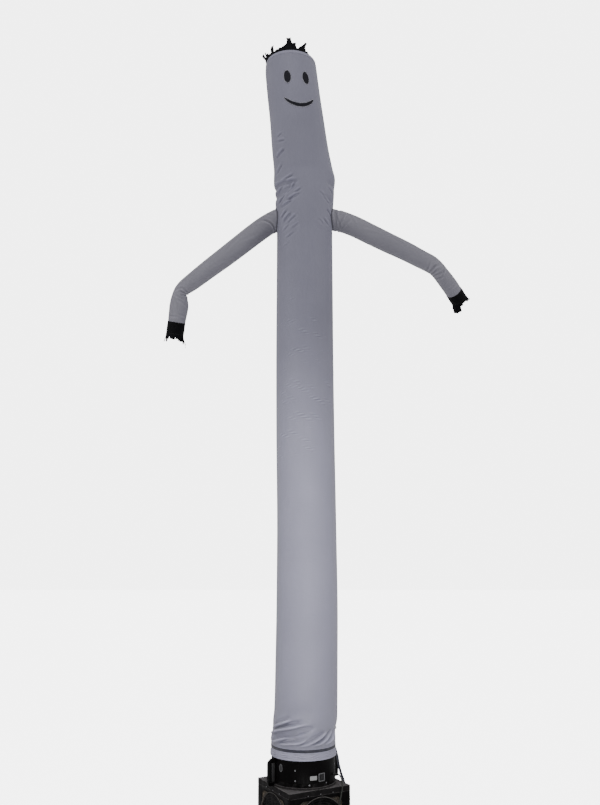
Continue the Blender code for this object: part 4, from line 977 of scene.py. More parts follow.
dancer = {
    "foot": 0.68, "head": 6.17, "girth": 1.423, "wall": 0.0012, "sides": 132, "liningRows": 90,
    "tableRows": 2400,
    "sections": (  # height, axis, half width, half depth
        (0.68, 0.0, 0.2378, 0.2378), (0.71, 0.0, 0.235, 0.235), (0.731, 0.0, 0.2328, 0.2328),
        (0.755, 0.0, 0.2328, 0.2328), (0.785, -0.001, 0.2355, 0.2355),
        (0.848, 0.005, 0.228, 0.232), (0.916, 0.0135, 0.234, 0.234), (1.0, 0.019, 0.2315, 0.2315),
        (1.3, 0.024, 0.2305, 0.2305), (1.75, 0.029, 0.2295, 0.2295), (2.4, 0.026, 0.2255, 0.2275),
        (3.0, 0.018, 0.2262, 0.2275), (3.8, 0.0135, 0.2262, 0.2275), (4.6, 0.0135, 0.2255, 0.2275),
        (4.77, 0.012, 0.229, 0.229), (4.945, 0.0125, 0.24, 0.22), (5.033, 0.0105, 0.2475, 0.215),
        (5.12, 0.0125, 0.2525, 0.212), (5.21, 0.0035, 0.243, 0.22),
        (5.386, -0.0215, 0.2345, 0.227), (5.655, -0.05, 0.2255, 0.2255),
        (5.93, -0.082, 0.221, 0.221), (6.17, -0.101, 0.2175, 0.2175),
    ),
    "stretches": (  # top of the stretch, height of its rows
        (0.731, 0.0028), (0.96, 0.004), (1.1, 0.012), (2.78, 0.06), (4.15, 0.0048), (4.44, 0.024),
        (5.47, 0.0058), (6.06, 0.03), (6.17, 0.006),
    ),
    "folds": (  # azimuth, height, reach, slope, width, depth; a ridge has a negative depth
        (-150, 5.028, 0.15, -2, 0.024, 0.02), (-172, 4.965, 0.09, 0, 0.026, 0.017),
        (-136, 4.97, 0.1, 12, 0.03, 0.032), (-112, 0.985, 0.15, 6, 0.05, 0.007),
        (-115, 4.892, 0.06, 16, 0.022, 0.011), (-134, 4.845, 0.065, 8, 0.022, 0.01),
        (-33, 4.905, 0.06, -12, 0.022, 0.01), (-20, 5.04, 0.08, 4, 0.026, 0.008),
        (150, 5.02, 0.14, 6, 0.026, 0.014), (60, 4.96, 0.1, -14, 0.028, 0.008),
        (-127, 4.715, 0.05, 28, 0.022, 0.008), (-118, 4.6, 0.05, 20, 0.024, 0.006),
        (-62, 4.64, 0.05, -24, 0.024, 0.006), (-141, 5.285, 0.055, 14, 0.024, 0.006),
        (-140, 0.912, 0.085, 22, 0.016, -0.006), (-108, 0.87, 0.11, 12, 0.032, 0.021),
        (-140, 0.85, 0.09, 18, 0.022, 0.009), (-143, 0.802, 0.08, 21, 0.016, -0.005),
        (-72, 0.812, 0.105, 21, 0.016, -0.006), (-42, 0.812, 0.085, 27, 0.016, -0.006),
        (-24, 0.85, 0.06, 30, 0.022, 0.008), (30, 0.85, 0.11, -18, 0.024, 0.008),
        (80, 0.83, 0.1, 20, 0.024, 0.007), (140, 0.86, 0.12, -16, 0.024, 0.009),
    ),
    "creases": (  # azimuth, height, half length, slope, width, depth
        (-144, 5.031, 0.126, -1.5, 0.011, 0.0075), (-121, 4.967, 0.042, 36, 0.009, 0.0055),
        (-140, 4.94, 0.036, 40, 0.009, 0.006), (-114, 5.003, 0.03, 42, 0.008, 0.0045),
        (-144, 4.897, 0.045, 37, 0.009, 0.006), (-115, 4.89, 0.048, 22, 0.009, 0.0065),
        (-131, 4.843, 0.046, 18, 0.009, 0.0065), (-128, 5.06, 0.055, 20, 0.009, 0.004),
        (-104, 4.94, 0.03, 30, 0.008, 0.003), (-152, 4.985, 0.04, 34, 0.009, 0.005),
        (-38, 4.885, 0.038, -31, 0.009, 0.004), (-30, 4.795, 0.036, -29, 0.009, 0.0037),
        (-39, 4.7, 0.041, -31, 0.009, 0.0034), (-52, 4.93, 0.03, -30, 0.008, 0.0022),
        (-24, 4.985, 0.043, -24, 0.01, 0.0028), (-54, 4.69, 0.031, -34, 0.008, 0.0019),
        (-129, 4.727, 0.044, 34, 0.009, 0.006), (-119, 4.698, 0.054, 34, 0.009, 0.0037),
        (-137, 4.76, 0.04, 36, 0.009, 0.0045), (-121, 4.573, 0.042, 28, 0.009, 0.0028),
        (-132, 4.64, 0.045, 32, 0.008, 0.0025), (-110, 4.64, 0.04, 28, 0.008, 0.0019),
        (-130, 4.5, 0.036, 26, 0.008, 0.0014), (-141, 5.287, 0.05, 22, 0.01, 0.0055),
        (-133, 5.387, 0.038, -10, 0.009, 0.003), (-148, 5.16, 0.04, 40, 0.01, 0.0045),
        (-136, 5.44, 0.03, 16, 0.009, 0.0025), (-140, 0.909, 0.08, 23, 0.0124, -0.0125),
        (-124, 0.89, 0.11, 15, 0.0124, -0.0133), (-106, 0.872, 0.1, 12, 0.0149, 0.0125),
        (-143, 0.798, 0.092, 22, 0.0111, -0.0116), (-118, 0.788, 0.078, 14, 0.0111, -0.0109),
        (-74, 0.808, 0.1, 24, 0.0099, -0.0125), (-50, 0.815, 0.085, 30, 0.0099, -0.0077),
        (-38, 0.8, 0.05, 36, 0.0099, -0.0072), (-60, 0.8, 0.06, 28, 0.0099, -0.0066),
        (-28, 0.82, 0.05, 40, 0.0099, -0.0066), (-155, 0.85, 0.06, 16, 0.0111, -0.0091),
        (-118, 0.846, 0.06, 10, 0.0149, 0.01), (-96, 0.8, 0.05, 16, 0.0111, -0.0067),
        (-135, 0.842, 0.05, 18, 0.0124, 0.0083), (20, 0.83, 0.08, -22, 0.0099, -0.0066),
        (55, 0.84, 0.08, 18, 0.0099, -0.0066), (100, 0.86, 0.09, -14, 0.0099, -0.0066),
        (150, 0.82, 0.09, 20, 0.0099, -0.0066), (130, 4.82, 0.07, -12, 0.009, 0.005),
        (80, 4.9, 0.06, 16, 0.009, 0.005), (110, 5.06, 0.09, 6, 0.009, 0.005),
        (30, 4.9, 0.05, 30, 0.009, 0.005), (165, 4.88, 0.05, -30, 0.009, 0.005),
        (170, 4.76, 0.045, -30, 0.009, 0.0045),
    ),
    "ripples": (  # azimuth, height, half length, line slope, band slope, band half width, strength
        (-117, 4.056, 0.027, 25, 10, 0.019, 0.6), (-118, 3.865, 0.037, 25, 10, 0.015, 0.8),
        (-76, 3.864, 0.034, 15, 0, 0.015, 0.9), (-143, 3.865, 0.029, 20, 0, 0.009, 0.5),
        (-94, 3.774, 0.047, 15, -8, 0.022, 1.0), (-60, 3.749, 0.061, 8, -4, 0.019, 0.9),
        (-106, 3.625, 0.075, 22, 12, 0.022, 1.2), (-58, 3.553, 0.042, 10, 0, 0.012, 0.6),
        (-92, 3.54, 0.025, 8, 0, 0.01, 0.4), (-137, 3.491, 0.028, 18, 0, 0.01, 0.5),
        (-113, 3.373, 0.062, 17, -6, 0.02, 1.2), (-89, 3.335, 0.067, 17, -8, 0.02, 1.2),
        (-42, 3.38, 0.061, 8, -10, 0.015, 0.9), (-142, 3.309, 0.041, 25, 0, 0.014, 0.5),
        (-125, 3.252, 0.062, 18, 5, 0.017, 0.8), (-58, 3.247, 0.101, 15, -8, 0.022, 1.2),
        (-90, 3.117, 0.129, 12, -3, 0.022, 1.2), (-154, 3.148, 0.039, 30, 0, 0.012, 0.6),
        (-85, 3.029, 0.048, 8, 0, 0.01, 0.5), (-125, 2.988, 0.09, 15, 4, 0.02, 1.1),
        (-90, 2.937, 0.051, 10, 0, 0.018, 0.8), (-83, 2.875, 0.055, 15, 0, 0.02, 0.8),
        (-145, 2.899, 0.058, 18, 0, 0.012, 0.5), (-145, 2.827, 0.058, 18, 0, 0.012, 0.5),
        (-107, 2.838, 0.043, 12, 0, 0.012, 0.3), (-114, 4.126, 0.021, 20, 0, 0.01, 0.4),
        (-86, 3.638, 0.051, 14, 4, 0.014, 0.4), (-45, 3.637, 0.048, 12, 0, 0.012, 0.5),
        (75, 3.3, 0.09, 12, 0, 0.022, 1.0), (110, 3.1, 0.1, -14, 0, 0.022, 1.0),
        (60, 3.55, 0.07, -18, 4, 0.02, 0.9), (125, 3.42, 0.08, 10, -5, 0.02, 0.9),
        (90, 2.95, 0.09, 14, 4, 0.02, 1.0), (20, 3.2, 0.08, -12, 4, 0.02, 0.9),
        (5, 3.5, 0.06, 14, 0, 0.018, 0.8), (160, 3.18, 0.07, -14, 0, 0.02, 0.9),
    ),
    "ripplePitch": 0.0215, "rippleDepth": 0.0052, "rippleBreak": 0.09,
    "creaseDepth": 2.8, "rimDraw": 0.011,
    "backSeam": 90.0, "arcRadius": 0.231,
}


def readSections():
    rows = dancer["sections"]
    keys = [row[0] for row in rows]
    heights = np.linspace(keys[0], keys[-1], dancer["tableRows"])
    columns = []
    for column in (1, 2, 3):
        values = []
        for value in heights:
            k = min(max(sum(1 for key in keys if key <= value) - 1, 0), len(rows) - 2)
            near = [rows[max(0, min(len(rows) - 1, k + d))][column] for d in (-1, 0, 1, 2)]
            edge = [keys[max(0, min(len(rows) - 1, k + d))] for d in (-1, 0, 1, 2)]
            span = keys[k + 1] - keys[k]
            t = (value - keys[k]) / span
            riseA = (near[2] - near[0]) / (edge[2] - edge[0]) * span
            riseB = (near[3] - near[1]) / (edge[3] - edge[1]) * span
            if (near[1] - near[0]) * (near[2] - near[1]) <= 0:
                riseA = 0.0
            if (near[2] - near[1]) * (near[3] - near[2]) <= 0:
                riseB = 0.0
            values.append((2 * t**3 - 3 * t**2 + 1) * near[1] + (t**3 - 2 * t**2 + t) * riseA
                + (3 * t**2 - 2 * t**3) * near[2] + (t**3 - t**2) * riseB)
        columns.append(np.array(values))
    return heights, columns


sectionHeights, sectionColumns = readSections()


def arcFrom(turn, azimuth):
    # the way round the cloth from one azimuth to another, in metres
    return np.radians((azimuth - turn + 180.0) % 360.0 - 180.0) * dancer["arcRadius"]


def rippled(azimuth, height):
    # groups of short fine wrinkles, where the cloth was folded for storage
    depth = np.zeros(np.broadcast(azimuth, height).shape)
    for turn, level, reach, lineSlope, bandSlope, band, strength in dancer["ripples"]:
        sideways = arcFrom(turn, azimuth)
        upward = height - level
        tilt, lean = math.radians(lineSlope), math.radians(bandSlope)
        off = upward * math.cos(tilt) - sideways * math.sin(tilt)
        bent = off + 0.1 * (upward * math.sin(tilt) + sideways * math.cos(tilt)) ** 2 / reach
        run = sideways * math.cos(lean) + upward * math.sin(lean)
        rise = upward * math.cos(lean) - sideways * math.sin(lean)
        phase = bent * 2 * math.pi / dancer["ripplePitch"] + level * 9.0 + run * 30.0
        broken = np.clip(0.4 + 0.8 * np.sin(run * 2 * math.pi / dancer["rippleBreak"] + 0.37 * phase
            + turn), 0, 1)
        wave = 1.7 * np.exp(-(np.sin(phase / 2) / 0.42) ** 2) - 0.6
        fade = np.exp(-(run / reach) ** 4) * np.exp(-(rise / (1.25 * band)) ** 2)
        depth += strength * wave * broken * fade
    return depth * dancer["rippleDepth"]


def pressed(azimuth, height, rows, sharp):
    depth = np.zeros(np.broadcast(azimuth, height).shape)
    for turn, level, reach, slope, width, press in rows:
        sideways = arcFrom(turn, azimuth)
        upward = height - level
        tilt = math.radians(slope)
        run = sideways * math.cos(tilt) + upward * math.sin(tilt)
        off = (upward * math.cos(tilt) - sideways * math.sin(tilt)) / width
        shape = np.exp(-off**2)
        if sharp:
            shape = shape - 0.45 * np.exp(-((off - 1.8) / 1.2) ** 2)
        depth += press * shape * np.exp(-(run / reach) ** 4)
    clear = np.clip((height - 0.77) / 0.02, 0.0, 1.0)
    return depth * clear


def tubeRadius(azimuth, height, fine=True):
    drawn = dancer["rimDraw"] * np.clip((height - 6.08) / 0.09, 0.0, 1.0) ** 2
    across = np.interp(height, sectionHeights, sectionColumns[1]) - drawn
    front = np.interp(height, sectionHeights, sectionColumns[2]) - drawn
    angle = np.radians(azimuth)
    ellipse = across * front / np.hypot(front * np.cos(angle), across * np.sin(angle))
    radius = ellipse - pressed(azimuth, height, dancer["folds"], False)
    if fine:
        radius = radius - dancer["creaseDepth"] * pressed(azimuth, height, dancer["creases"], True)
        radius = radius - rippled(azimuth, height)
        # gathers under and over the strap, the channel in the lower hem, and the rim's hem
        gather = np.exp(-((height - 0.743) / 0.022) ** 2)
        radius = radius + 0.0011 * gather * np.sin(angle * 41 + 3 * np.sin(angle * 5))
        pinch = np.exp(-((height - 0.73) / 0.0045) ** 2) + np.exp(-((height - 0.756) / 0.004) ** 2)
        radius = radius + 0.0012 * pinch
        wave = 0.6 + 0.4 * np.sin(angle * 17 + 2 * np.sin(angle * 4))
        radius = radius + 0.0022 * np.exp(-((height - 0.687) / 0.005) ** 2)
        radius = radius + 0.002 * wave * np.exp(-((height - 0.706) / 0.011) ** 2)
        crinkle = np.sin(430 * height + 2.2 * np.sin(angle * 8) + 1.3 * np.sin(angle * 19 + 1))
        crinkle = crinkle * (0.55 + 0.45 * np.sin(angle * 13 + 60 * height))
        radius = radius + 0.0036 * crinkle * np.exp(-((height - 0.705) / 0.015) ** 4)
        radius = radius + 0.0016 * np.clip((height - 6.14) / 0.004, 0.0, 1.0)
        seam = arcFrom(dancer["backSeam"], azimuth)
        radius = radius + 0.0012 * np.exp(-(seam / 0.007) ** 4)
    return radius


def onTube(azimuth, height, lift=0.0, fine=True):
    azimuth = np.asarray(azimuth, dtype=float)
    height = np.asarray(height, dtype=float)
    radius = tubeRadius(azimuth, height, fine) + lift
    axis = np.interp(height, sectionHeights, sectionColumns[0])
    angle = np.radians(azimuth)
    return np.stack(np.broadcast_arrays(axis + radius * np.cos(angle), radius * np.sin(angle),
        height), axis=-1)


def outwardAt(azimuth):
    angle = np.radians(np.asarray(azimuth, dtype=float))
    return np.stack((np.cos(angle), np.sin(angle), np.zeros_like(angle)), axis=-1)


def runOnTube(azimuths, heights, lift):
    places = onTube(azimuths, heights, lift)
    return list(zip(places.tolist(), outwardAt(azimuths).tolist()))


def tubeRows():
    heights = [dancer["foot"]]
    for top, step in dancer["stretches"]:
        low = heights[-1]
        count = max(1, round((top - low) / step))
        heights += [low + (top - low) * (k + 1) / count for k in range(count)]
    return np.array(heights)


def makeTube():
    heights = tubeRows()
    azimuths = -90.0 + 360.0 * np.arange(dancer["sides"]) / dancer["sides"]
    outer = onTube(azimuths[None, :], heights[:, None])
    liningHeights = np.linspace(heights[0], heights[-1], dancer["liningRows"])
    toRim = np.minimum(liningHeights - heights[0], heights[-1] - liningHeights)
    slack = dancer["wall"] + 0.008 * np.clip(toRim / 0.08, 0.0, 1.0)
    lining = onTube(azimuths[None, :], liningHeights[:, None], -slack[:, None], fine=False)
    mesh = clothTube("figureTube", outer, lining, heights, dancer["girth"])
    return dress("figureTube", mesh, nylonCloth, "nylon", "body_tube")


def ringRun(height, lift, count=240):
    azimuths = np.linspace(-90.0, 270.0, count + 1)
    return runOnTube(azimuths, np.full_like(azimuths, height), lift)


print("figure tube")
stitchTree = makeStitchTree(paleThread)
figureTube = makeTube()


# Sleeves: stations from the shoulder to the end, with the size in the plane of the bend
# (across) and out of it (through)

sleeves = {
    "left": {
        "stations": (
            (-0.224, 0.0, 4.768, 0.178, 0.178), (-0.29, 0.0, 4.733, 0.171, 0.174),
            (-0.385, 0.0, 4.662, 0.17, 0.171), (-0.509, 0.0, 4.56, 0.166, 0.166),
            (-0.632, 0.0, 4.459, 0.16, 0.16), (-0.76, 0.0, 4.357, 0.15, 0.152),
            (-0.88, 0.002, 4.259, 0.138, 0.145), (-0.946, 0.004, 4.207, 0.124, 0.147),
            (-0.984, 0.012, 4.166, 0.11, 0.15), (-0.994, 0.026, 4.117, 0.134, 0.15),
            (-0.998, 0.042, 4.06, 0.153, 0.15), (-1.009, 0.061, 3.992, 0.147, 0.146),
            (-1.021, 0.08, 3.921, 0.138, 0.138)),
        "flat": (0.5, 1.235), "cuffLength": 0.096,
        "creases": (  # distance, angle, half length, slope, width, depth
            (0.06, 160, 0.06, 62, 0.007, 0.006), (0.085, 185, 0.04, 55, 0.007, 0.004),
            (0.03, 120, 0.05, 70, 0.008, 0.005), (0.05, 215, 0.04, 60, 0.008, 0.004),
            (0.045, 290, 0.05, 75, 0.008, 0.0035), (0.05, 20, 0.05, 70, 0.008, 0.004),
            (0.11, 200, 0.05, 30, 0.009, 0.0025), (0.27, 170, 0.07, 14, 0.009, 0.0022),
            (0.42, 200, 0.07, -12, 0.009, 0.002), (0.6, 160, 0.06, 10, 0.009, 0.0022),
            (0.93, 110, 0.07, 86, 0.008, 0.006), (0.955, 130, 0.06, 80, 0.008, 0.006),
            (0.985, 100, 0.06, 92, 0.008, 0.006), (0.97, 60, 0.06, 96, 0.008, 0.006),
            (0.95, 185, 0.05, 60, 0.008, 0.004), (1.01, 170, 0.05, 110, 0.008, 0.004),
            (1.05, 150, 0.05, 120, 0.009, 0.003), (1.17, 200, 0.06, 85, 0.008, 0.0028),
            (1.15, 130, 0.05, 95, 0.008, 0.0026)),
    },
    "right": {
        "stations": (
            (0.249, 0.0, 4.777, 0.178, 0.178), (0.33, 0.0, 4.757, 0.169, 0.172),
            (0.428, 0.0, 4.717, 0.166, 0.168), (0.562, 0.0, 4.647, 0.164, 0.165),
            (0.697, 0.0, 4.577, 0.16, 0.16), (0.83, 0.0, 4.51, 0.154, 0.154),
            (0.959, 0.002, 4.439, 0.145, 0.15), (1.024, 0.008, 4.406, 0.142, 0.15),
            (1.077, 0.028, 4.374, 0.13, 0.148), (1.12, 0.062, 4.34, 0.126, 0.145),
            (1.166, 0.103, 4.3, 0.132, 0.14), (1.212, 0.147, 4.258, 0.134, 0.137),
            (1.2535, 0.19, 4.2165, 0.132, 0.132)),
        "flat": (0.485, 1.175), "cuffLength": 0.08,
        "creases": (
            (0.03, 170, 0.07, 84, 0.008, 0.006), (0.05, 200, 0.05, 66, 0.008, 0.004),
            (0.04, 120, 0.05, 100, 0.008, 0.0045), (0.075, 180, 0.05, 100, 0.008, 0.0035),
            (0.11, 205, 0.05, 120, 0.009, 0.003), (0.045, 290, 0.05, 75, 0.008, 0.004),
            (0.05, 20, 0.05, 70, 0.008, 0.004), (0.15, 165, 0.06, 40, 0.009, 0.0025),
            (0.33, 190, 0.07, -14, 0.009, 0.002), (0.56, 160, 0.07, 12, 0.009, 0.002),
            (0.86, 240, 0.06, 80, 0.008, 0.0045), (0.89, 225, 0.06, 92, 0.008, 0.005),
            (0.92, 250, 0.06, 86, 0.008, 0.0055), (0.95, 215, 0.06, 100, 0.008, 0.005),
            (0.985, 240, 0.05, 95, 0.008, 0.0045), (0.9, 180, 0.05, 110, 0.008, 0.0035),
            (0.96, 170, 0.05, 70, 0.008, 0.0035), (1.12, 190, 0.05, 90, 0.008, 0.0028)),
    },
    "rings": 250, "liningRings": 60, "sides": 56, "wall": 0.0012, "creaseDepth": 1.05,
    "rootPinch": 0.006,
}


def smoothThrough(rows, count):
    # Catmull-Rom through the rows, with its points evenly spaced along the middle line
    rows = np.asarray(rows, dtype=float)
    dense = []
    for k in range(len(rows) - 1):
        p = [rows[max(0, min(len(rows) - 1, k + d))] for d in (-1, 0, 1, 2)]
        for n in range(24):
            t = n / 24
            dense.append(0.5 * (2 * p[1] + (p[2] - p[0]) * t + (2 * p[0] - 5 * p[1] + 4 * p[2]
                - p[3]) * t**2 + (3 * p[1] - p[0] - 3 * p[2] + p[3]) * t**3))
    dense.append(rows[-1])
    dense = np.array(dense)
    run = np.concatenate(([0.0], np.cumsum(np.linalg.norm(np.diff(dense[:, :3], axis=0), axis=1))))
    even = np.linspace(0.0, run[-1], count)
    spaced = np.stack([np.interp(even, run, dense[:, c]) for c in range(dense.shape[1])], axis=-1)
    return spaced, even


def sleeveFrames(middles):
    forward = np.gradient(middles, axis=0)
    for _ in range(6):
        forward[1:-1] = (forward[:-2] + 2 * forward[1:-1] + forward[2:]) / 4
    forward /= np.linalg.norm(forward, axis=1, keepdims=True)
    through = np.array([0.0, 1.0, 0.0]) - forward * forward[:, 1:2]
    through /= np.linalg.norm(through, axis=1, keepdims=True)
    return forward, through, np.cross(forward, through)


def outsideTube(points):
    axis = np.interp(points[:, 2], sectionHeights, sectionColumns[0])
    azimuth = np.degrees(np.arctan2(points[:, 1], points[:, 0] - axis))
    reach = np.hypot(points[:, 0] - axis, points[:, 1])
    return reach - tubeRadius(azimuth, points[:, 2], fine=False)


def slideToTube(points, forward):
    low, high = np.full(len(points), -0.15), np.full(len(points), 0.15)
    for _ in range(30):
        middle = (low + high) / 2
        outside = outsideTube(points + forward * middle[:, None]) > -0.0012
        high = np.where(outside, middle, high)
        low = np.where(outside, low, middle)
    return high


def ringsAlong(middles, frames, halfAcross, halfThrough, sides, press=None):
    angle = np.radians(360.0 * np.arange(sides) / sides)[None, :]
    _, through, across = frames
    cosine, sine = np.cos(angle)[..., None], np.sin(angle)[..., None]
    grow = 1.0
    if press is not None:
        size = np.hypot(halfThrough[:, None] * np.cos(angle), halfAcross[:, None] * np.sin(angle))
        grow = (1.0 - press / size)[..., None]
    return middles[:, None, :] + grow * (through[:, None, :] * cosine * halfThrough[:, None, None]
        + across[:, None, :] * sine * halfAcross[:, None, None])


def sleevePress(run, sides, creases, girth):
    angle = 360.0 * np.arange(sides) / sides
    depth = np.zeros((len(run), sides))
    for distance, turn, reach, slope, width, press in creases:
        sideways = ((angle[None, :] - turn + 180.0) % 360.0 - 180.0) / 360.0 * girth
        onward = run[:, None] - distance
        tilt = math.radians(slope)
        along = sideways * math.sin(tilt) + onward * math.cos(tilt)
        off = (onward * math.sin(tilt) - sideways * math.cos(tilt)) / width
        shape = np.exp(-off**2) - 0.45 * np.exp(-((off - 1.8) / 1.2) ** 2)
        depth += press * shape * np.exp(-(along / reach) ** 4)
    return depth


def makeSleeve(side):
    sleeve = sleeves[side]
    sides = sleeves["sides"]
    spaced, run = smoothThrough(sleeve["stations"], sleeves["rings"])
    middles, halfAcross, halfThrough = spaced[:, :3], spaced[:, 3] / 2, spaced[:, 4] / 2
    frames = sleeveFrames(middles)
    press = sleeves["creaseDepth"] * sleevePress(run, sides, sleeve["creases"], sleeve["flat"][0])
    press += (sleeves["rootPinch"] * np.exp(-(run / 0.01) ** 2))[:, None]
    outer = ringsAlong(middles, frames, halfAcross, halfThrough, sides, press)
    forward = frames[0][0]
    slide = slideToTube(outer[0], forward)
    fade = np.exp(-(run / 0.055) ** 2)
    outer = outer + forward * (slide[None, :, None] * fade[:, None, None])
    liningRun = np.linspace(0, len(run) - 1, sleeves["liningRings"]).round().astype(int)
    toEnd = np.minimum(run, run[-1] - run)[liningRun]
    slack = sleeves["wall"] + 0.007 * np.clip(toEnd / 0.06, 0.0, 1.0)
    lining = ringsAlong(middles[liningRun], [f[liningRun] for f in frames], halfAcross[liningRun]
        - slack, halfThrough[liningRun] - slack, sides)
    lining = lining + forward * (slide[None, :, None] * fade[liningRun][:, None, None])
    mesh = clothTube("sleeve" + side.title(), outer, lining, run, sleeve["flat"][0])
    piece = dress("sleeve" + side.title(), mesh, sleeveCloth, "nylon", "arm_" + side)
    return piece, outer[0]


def cuffFrame(side):
    rows = sleeves[side]["stations"]
    end, before = Vector(rows[-1][:3]), Vector(rows[-2][:3])
    forward = (end - before).normalized()
    through = Vector((0.0, 1.0, 0.0))
    through = (through - forward * through.dot(forward)).normalized()
    return end, forward, through, forward.cross(through)


cuffs = {"lap": 0.014, "rings": 44, "sides": 56, "wall": 0.0012, "hem": 0.016, "puff": 0.0016}


def makeCuff(side):
    end, forward, through, across = cuffFrame(side)
    length = sleeves[side]["cuffLength"]
    base = sleeves[side]["stations"][-1][3] / 2 + 0.0018
    run = np.linspace(-cuffs["lap"], length, cuffs["rings"])
    angle = np.radians(360.0 * np.arange(cuffs["sides"]) / cuffs["sides"])
    swell = cuffs["puff"] * np.sin(np.clip((run + cuffs["lap"]) / (length + cuffs["lap"]), 0, 1)
        * math.pi)
    hem = 0.0009 * np.exp(-((run - length + 0.003) / 0.005) ** 2)
    lap = 0.001 * np.exp(-((run + cuffs["lap"]) / 0.01) ** 2)
    radius = (base + swell + hem + lap)[:, None]
    folds = (0.0012 * np.sin(angle * 7 + 1.3) * np.sin(run[:, None] * 60 + 0.8) + 0.0008
        * np.sin(angle * 13 + run[:, None] * 90))
    radius = radius + folds * np.sin(np.clip((run[:, None] + cuffs["lap"]) / length, 0, 1)
        * math.pi)
    cosine, sine = np.cos(angle)[None, :, None], np.sin(angle)[None, :, None]
    middle = np.array(end)[None, None] + np.array(forward)[None, None] * run[:, None, None]
    ray = np.array(through) * cosine + np.array(across) * sine
    outer = middle + ray * radius[..., None]
    inner = middle + ray * (radius[..., None] - cuffs["wall"])
    mesh = clothTube("cuff" + side.title(), outer, inner, run, 2 * math.pi * base)
    piece = dress("cuff" + side.title(), mesh, blackCloth, "black_nylon", "cuff_" + side)
    return piece, base


print("sleeves and cuffs")
sleeveParts = {side: makeSleeve(side) for side in ("left", "right")}
cuffParts = {side: makeCuff(side) for side in ("left", "right")}


# Streamers: cut nylon strips on a narrow tape, sewn inside the head's rim and the cuffs

def addStrip(points, faces, root, widthWay, upWay, outWay, row, thick=0.0009, steps=8):
    # row holds width, length, leanSide, leanOut, curl, taper, twist and wave
    rings = []
    for n in range(steps + 1):
        t = n / steps
        bend = row["curl"] * t * t
        rise = row["length"] * (t - 0.3 * abs(row["curl"]) * t**3)
        sway = row["leanSide"] * t * t + 0.1 * math.sin(row["wave"] + 5.0 * t) * t
        middle = (root + upWay * rise + widthWay * (row["length"] * sway) + outWay
            * (row["length"] * (row["leanOut"] * t + 0.5 * bend)))
        twist = row["twist"] * t
        wide = widthWay * math.cos(twist) + outWay * math.sin(twist)
        half = row["width"] / 2 * (1.0 - row["taper"] * t * t)
        half *= 1.0 + 0.16 * math.sin(8 * t + row["wave"])
        thin = (outWay * math.cos(twist) - widthWay * math.sin(twist)) * (thick / 2)
        rings.append((middle - wide * half - thin, middle + wide * half - thin, middle + wide * half
            + thin, middle - wide * half + thin))
    first = len(points)
    points += [p for ring in rings for p in ring]
    for n in range(steps):
        a, b = first + 4 * n, first + 4 * (n + 1)
        for k in range(4):
            m = (k + 1) % 4
            faces.append((a + k, a + m, b + m, b + k))
    faces.append((first + 3, first + 2, first + 1, first))
    last = first + 4 * steps
    faces.append((last, last + 1, last + 2, last + 3))


def addTape(points, faces, outer, inner):
    sides = len(outer[0])
    first = len(points)
    for ring in (outer[0], outer[1], inner[1], inner[0]):
        points += [Vector(p) for p in ring]
    for i in range(sides):
        j = (i + 1) % sides
        for k in range(4):
            a, b = first + k * sides, first + (k + 1) % 4 * sides
            faces.append((a + i, a + j, b + j, b + i))


def stripRow(dice, width, length, leanSide, leanOut, curl):
    return {"width": 1.2 * width, "length": length, "leanSide": leanSide, "leanOut": leanOut,
        "curl": curl, "taper": dice.uniform(0.05, 0.5), "twist": dice.uniform(-0.35, 0.35),
        "wave": dice.uniform(0.0, 6.28)}


hair = {
    "seed": 7, "tape": 0.018, "tapeSides": 120, "inset": 0.003,
    "strips": (  # azimuth, width, length, lean sideways, lean out, curl
        (-176, 0.03, 0.016, 0.1, 0.1, 0.0), (-171, 0.034, 0.044, -0.1, 0.4, 0.0),
        (-166, 0.034, 0.066, -0.2, 0.42, 0.1), (-161, 0.03, 0.06, 0.1, 0.3, 0.1),
        (-157, 0.034, 0.046, 0.1, 0.2, 0.0), (-152, 0.034, 0.034, 0.2, 0.1, 0.0),
        (-147, 0.034, 0.026, -0.2, 0.05, 0.0), (-142, 0.034, 0.03, 0.2, 0.0, 0.0),
        (-138, 0.024, 0.08, 0.05, 0.05, 0.0), (-135, 0.026, 0.054, -0.1, 0.0, 0.0),
        (-130, 0.034, 0.026, 0.1, 0.0, 0.0), (-125, 0.034, 0.03, 0.4, 0.0, 0.0),
        (-120, 0.024, 0.038, 0.3, 0.0, 0.0), (-116, 0.038, 0.026, 0.0, 0.0, 0.0),
        (-111, 0.04, 0.036, 0.1, 0.0, 0.0), (-107, 0.04, 0.044, 0.0, 0.0, 0.0),
        (-103, 0.04, 0.052, 0.15, 0.0, 0.0), (-99, 0.038, 0.06, 0.1, 0.0, 0.0),
        (-97, 0.038, 0.086, 0.05, 0.0, 0.0), (-94, 0.036, 0.114, 0.08, 0.0, 0.0),
        (-92, 0.034, 0.112, -0.02, 0.0, 0.0), (-88, 0.038, 0.07, 0.0, 0.0, 0.0),
        (-84, 0.038, 0.07, 0.1, 0.0, 0.0), (-81, 0.036, 0.062, 0.0, 0.0, 0.0),
        (-76, 0.034, 0.022, 0.1, 0.0, 0.0), (-71, 0.034, 0.026, 0.2, 0.0, 0.0),
        (-67, 0.034, 0.046, 0.2, 0.0, 0.0), (-64, 0.026, 0.092, 0.34, 0.0, 0.0),
        (-61, 0.034, 0.06, 0.2, 0.0, 0.0), (-57, 0.034, 0.042, 0.0, 0.0, 0.0),
        (-51, 0.03, 0.02, 0.0, 0.0, 0.0), (-45, 0.03, 0.01, 0.0, -0.1, 0.0),
        (-36, 0.03, 0.006, 0.0, -0.2, 0.0), (-22, 0.03, 0.006, 0.0, -0.2, 0.0),
        (-8, 0.03, 0.008, 0.0, -0.2, 0.0),
    ),
    "back": {"from": 4, "to": 178, "step": 4.5, "width": 0.03, "low": 0.024, "high": 0.06},
}


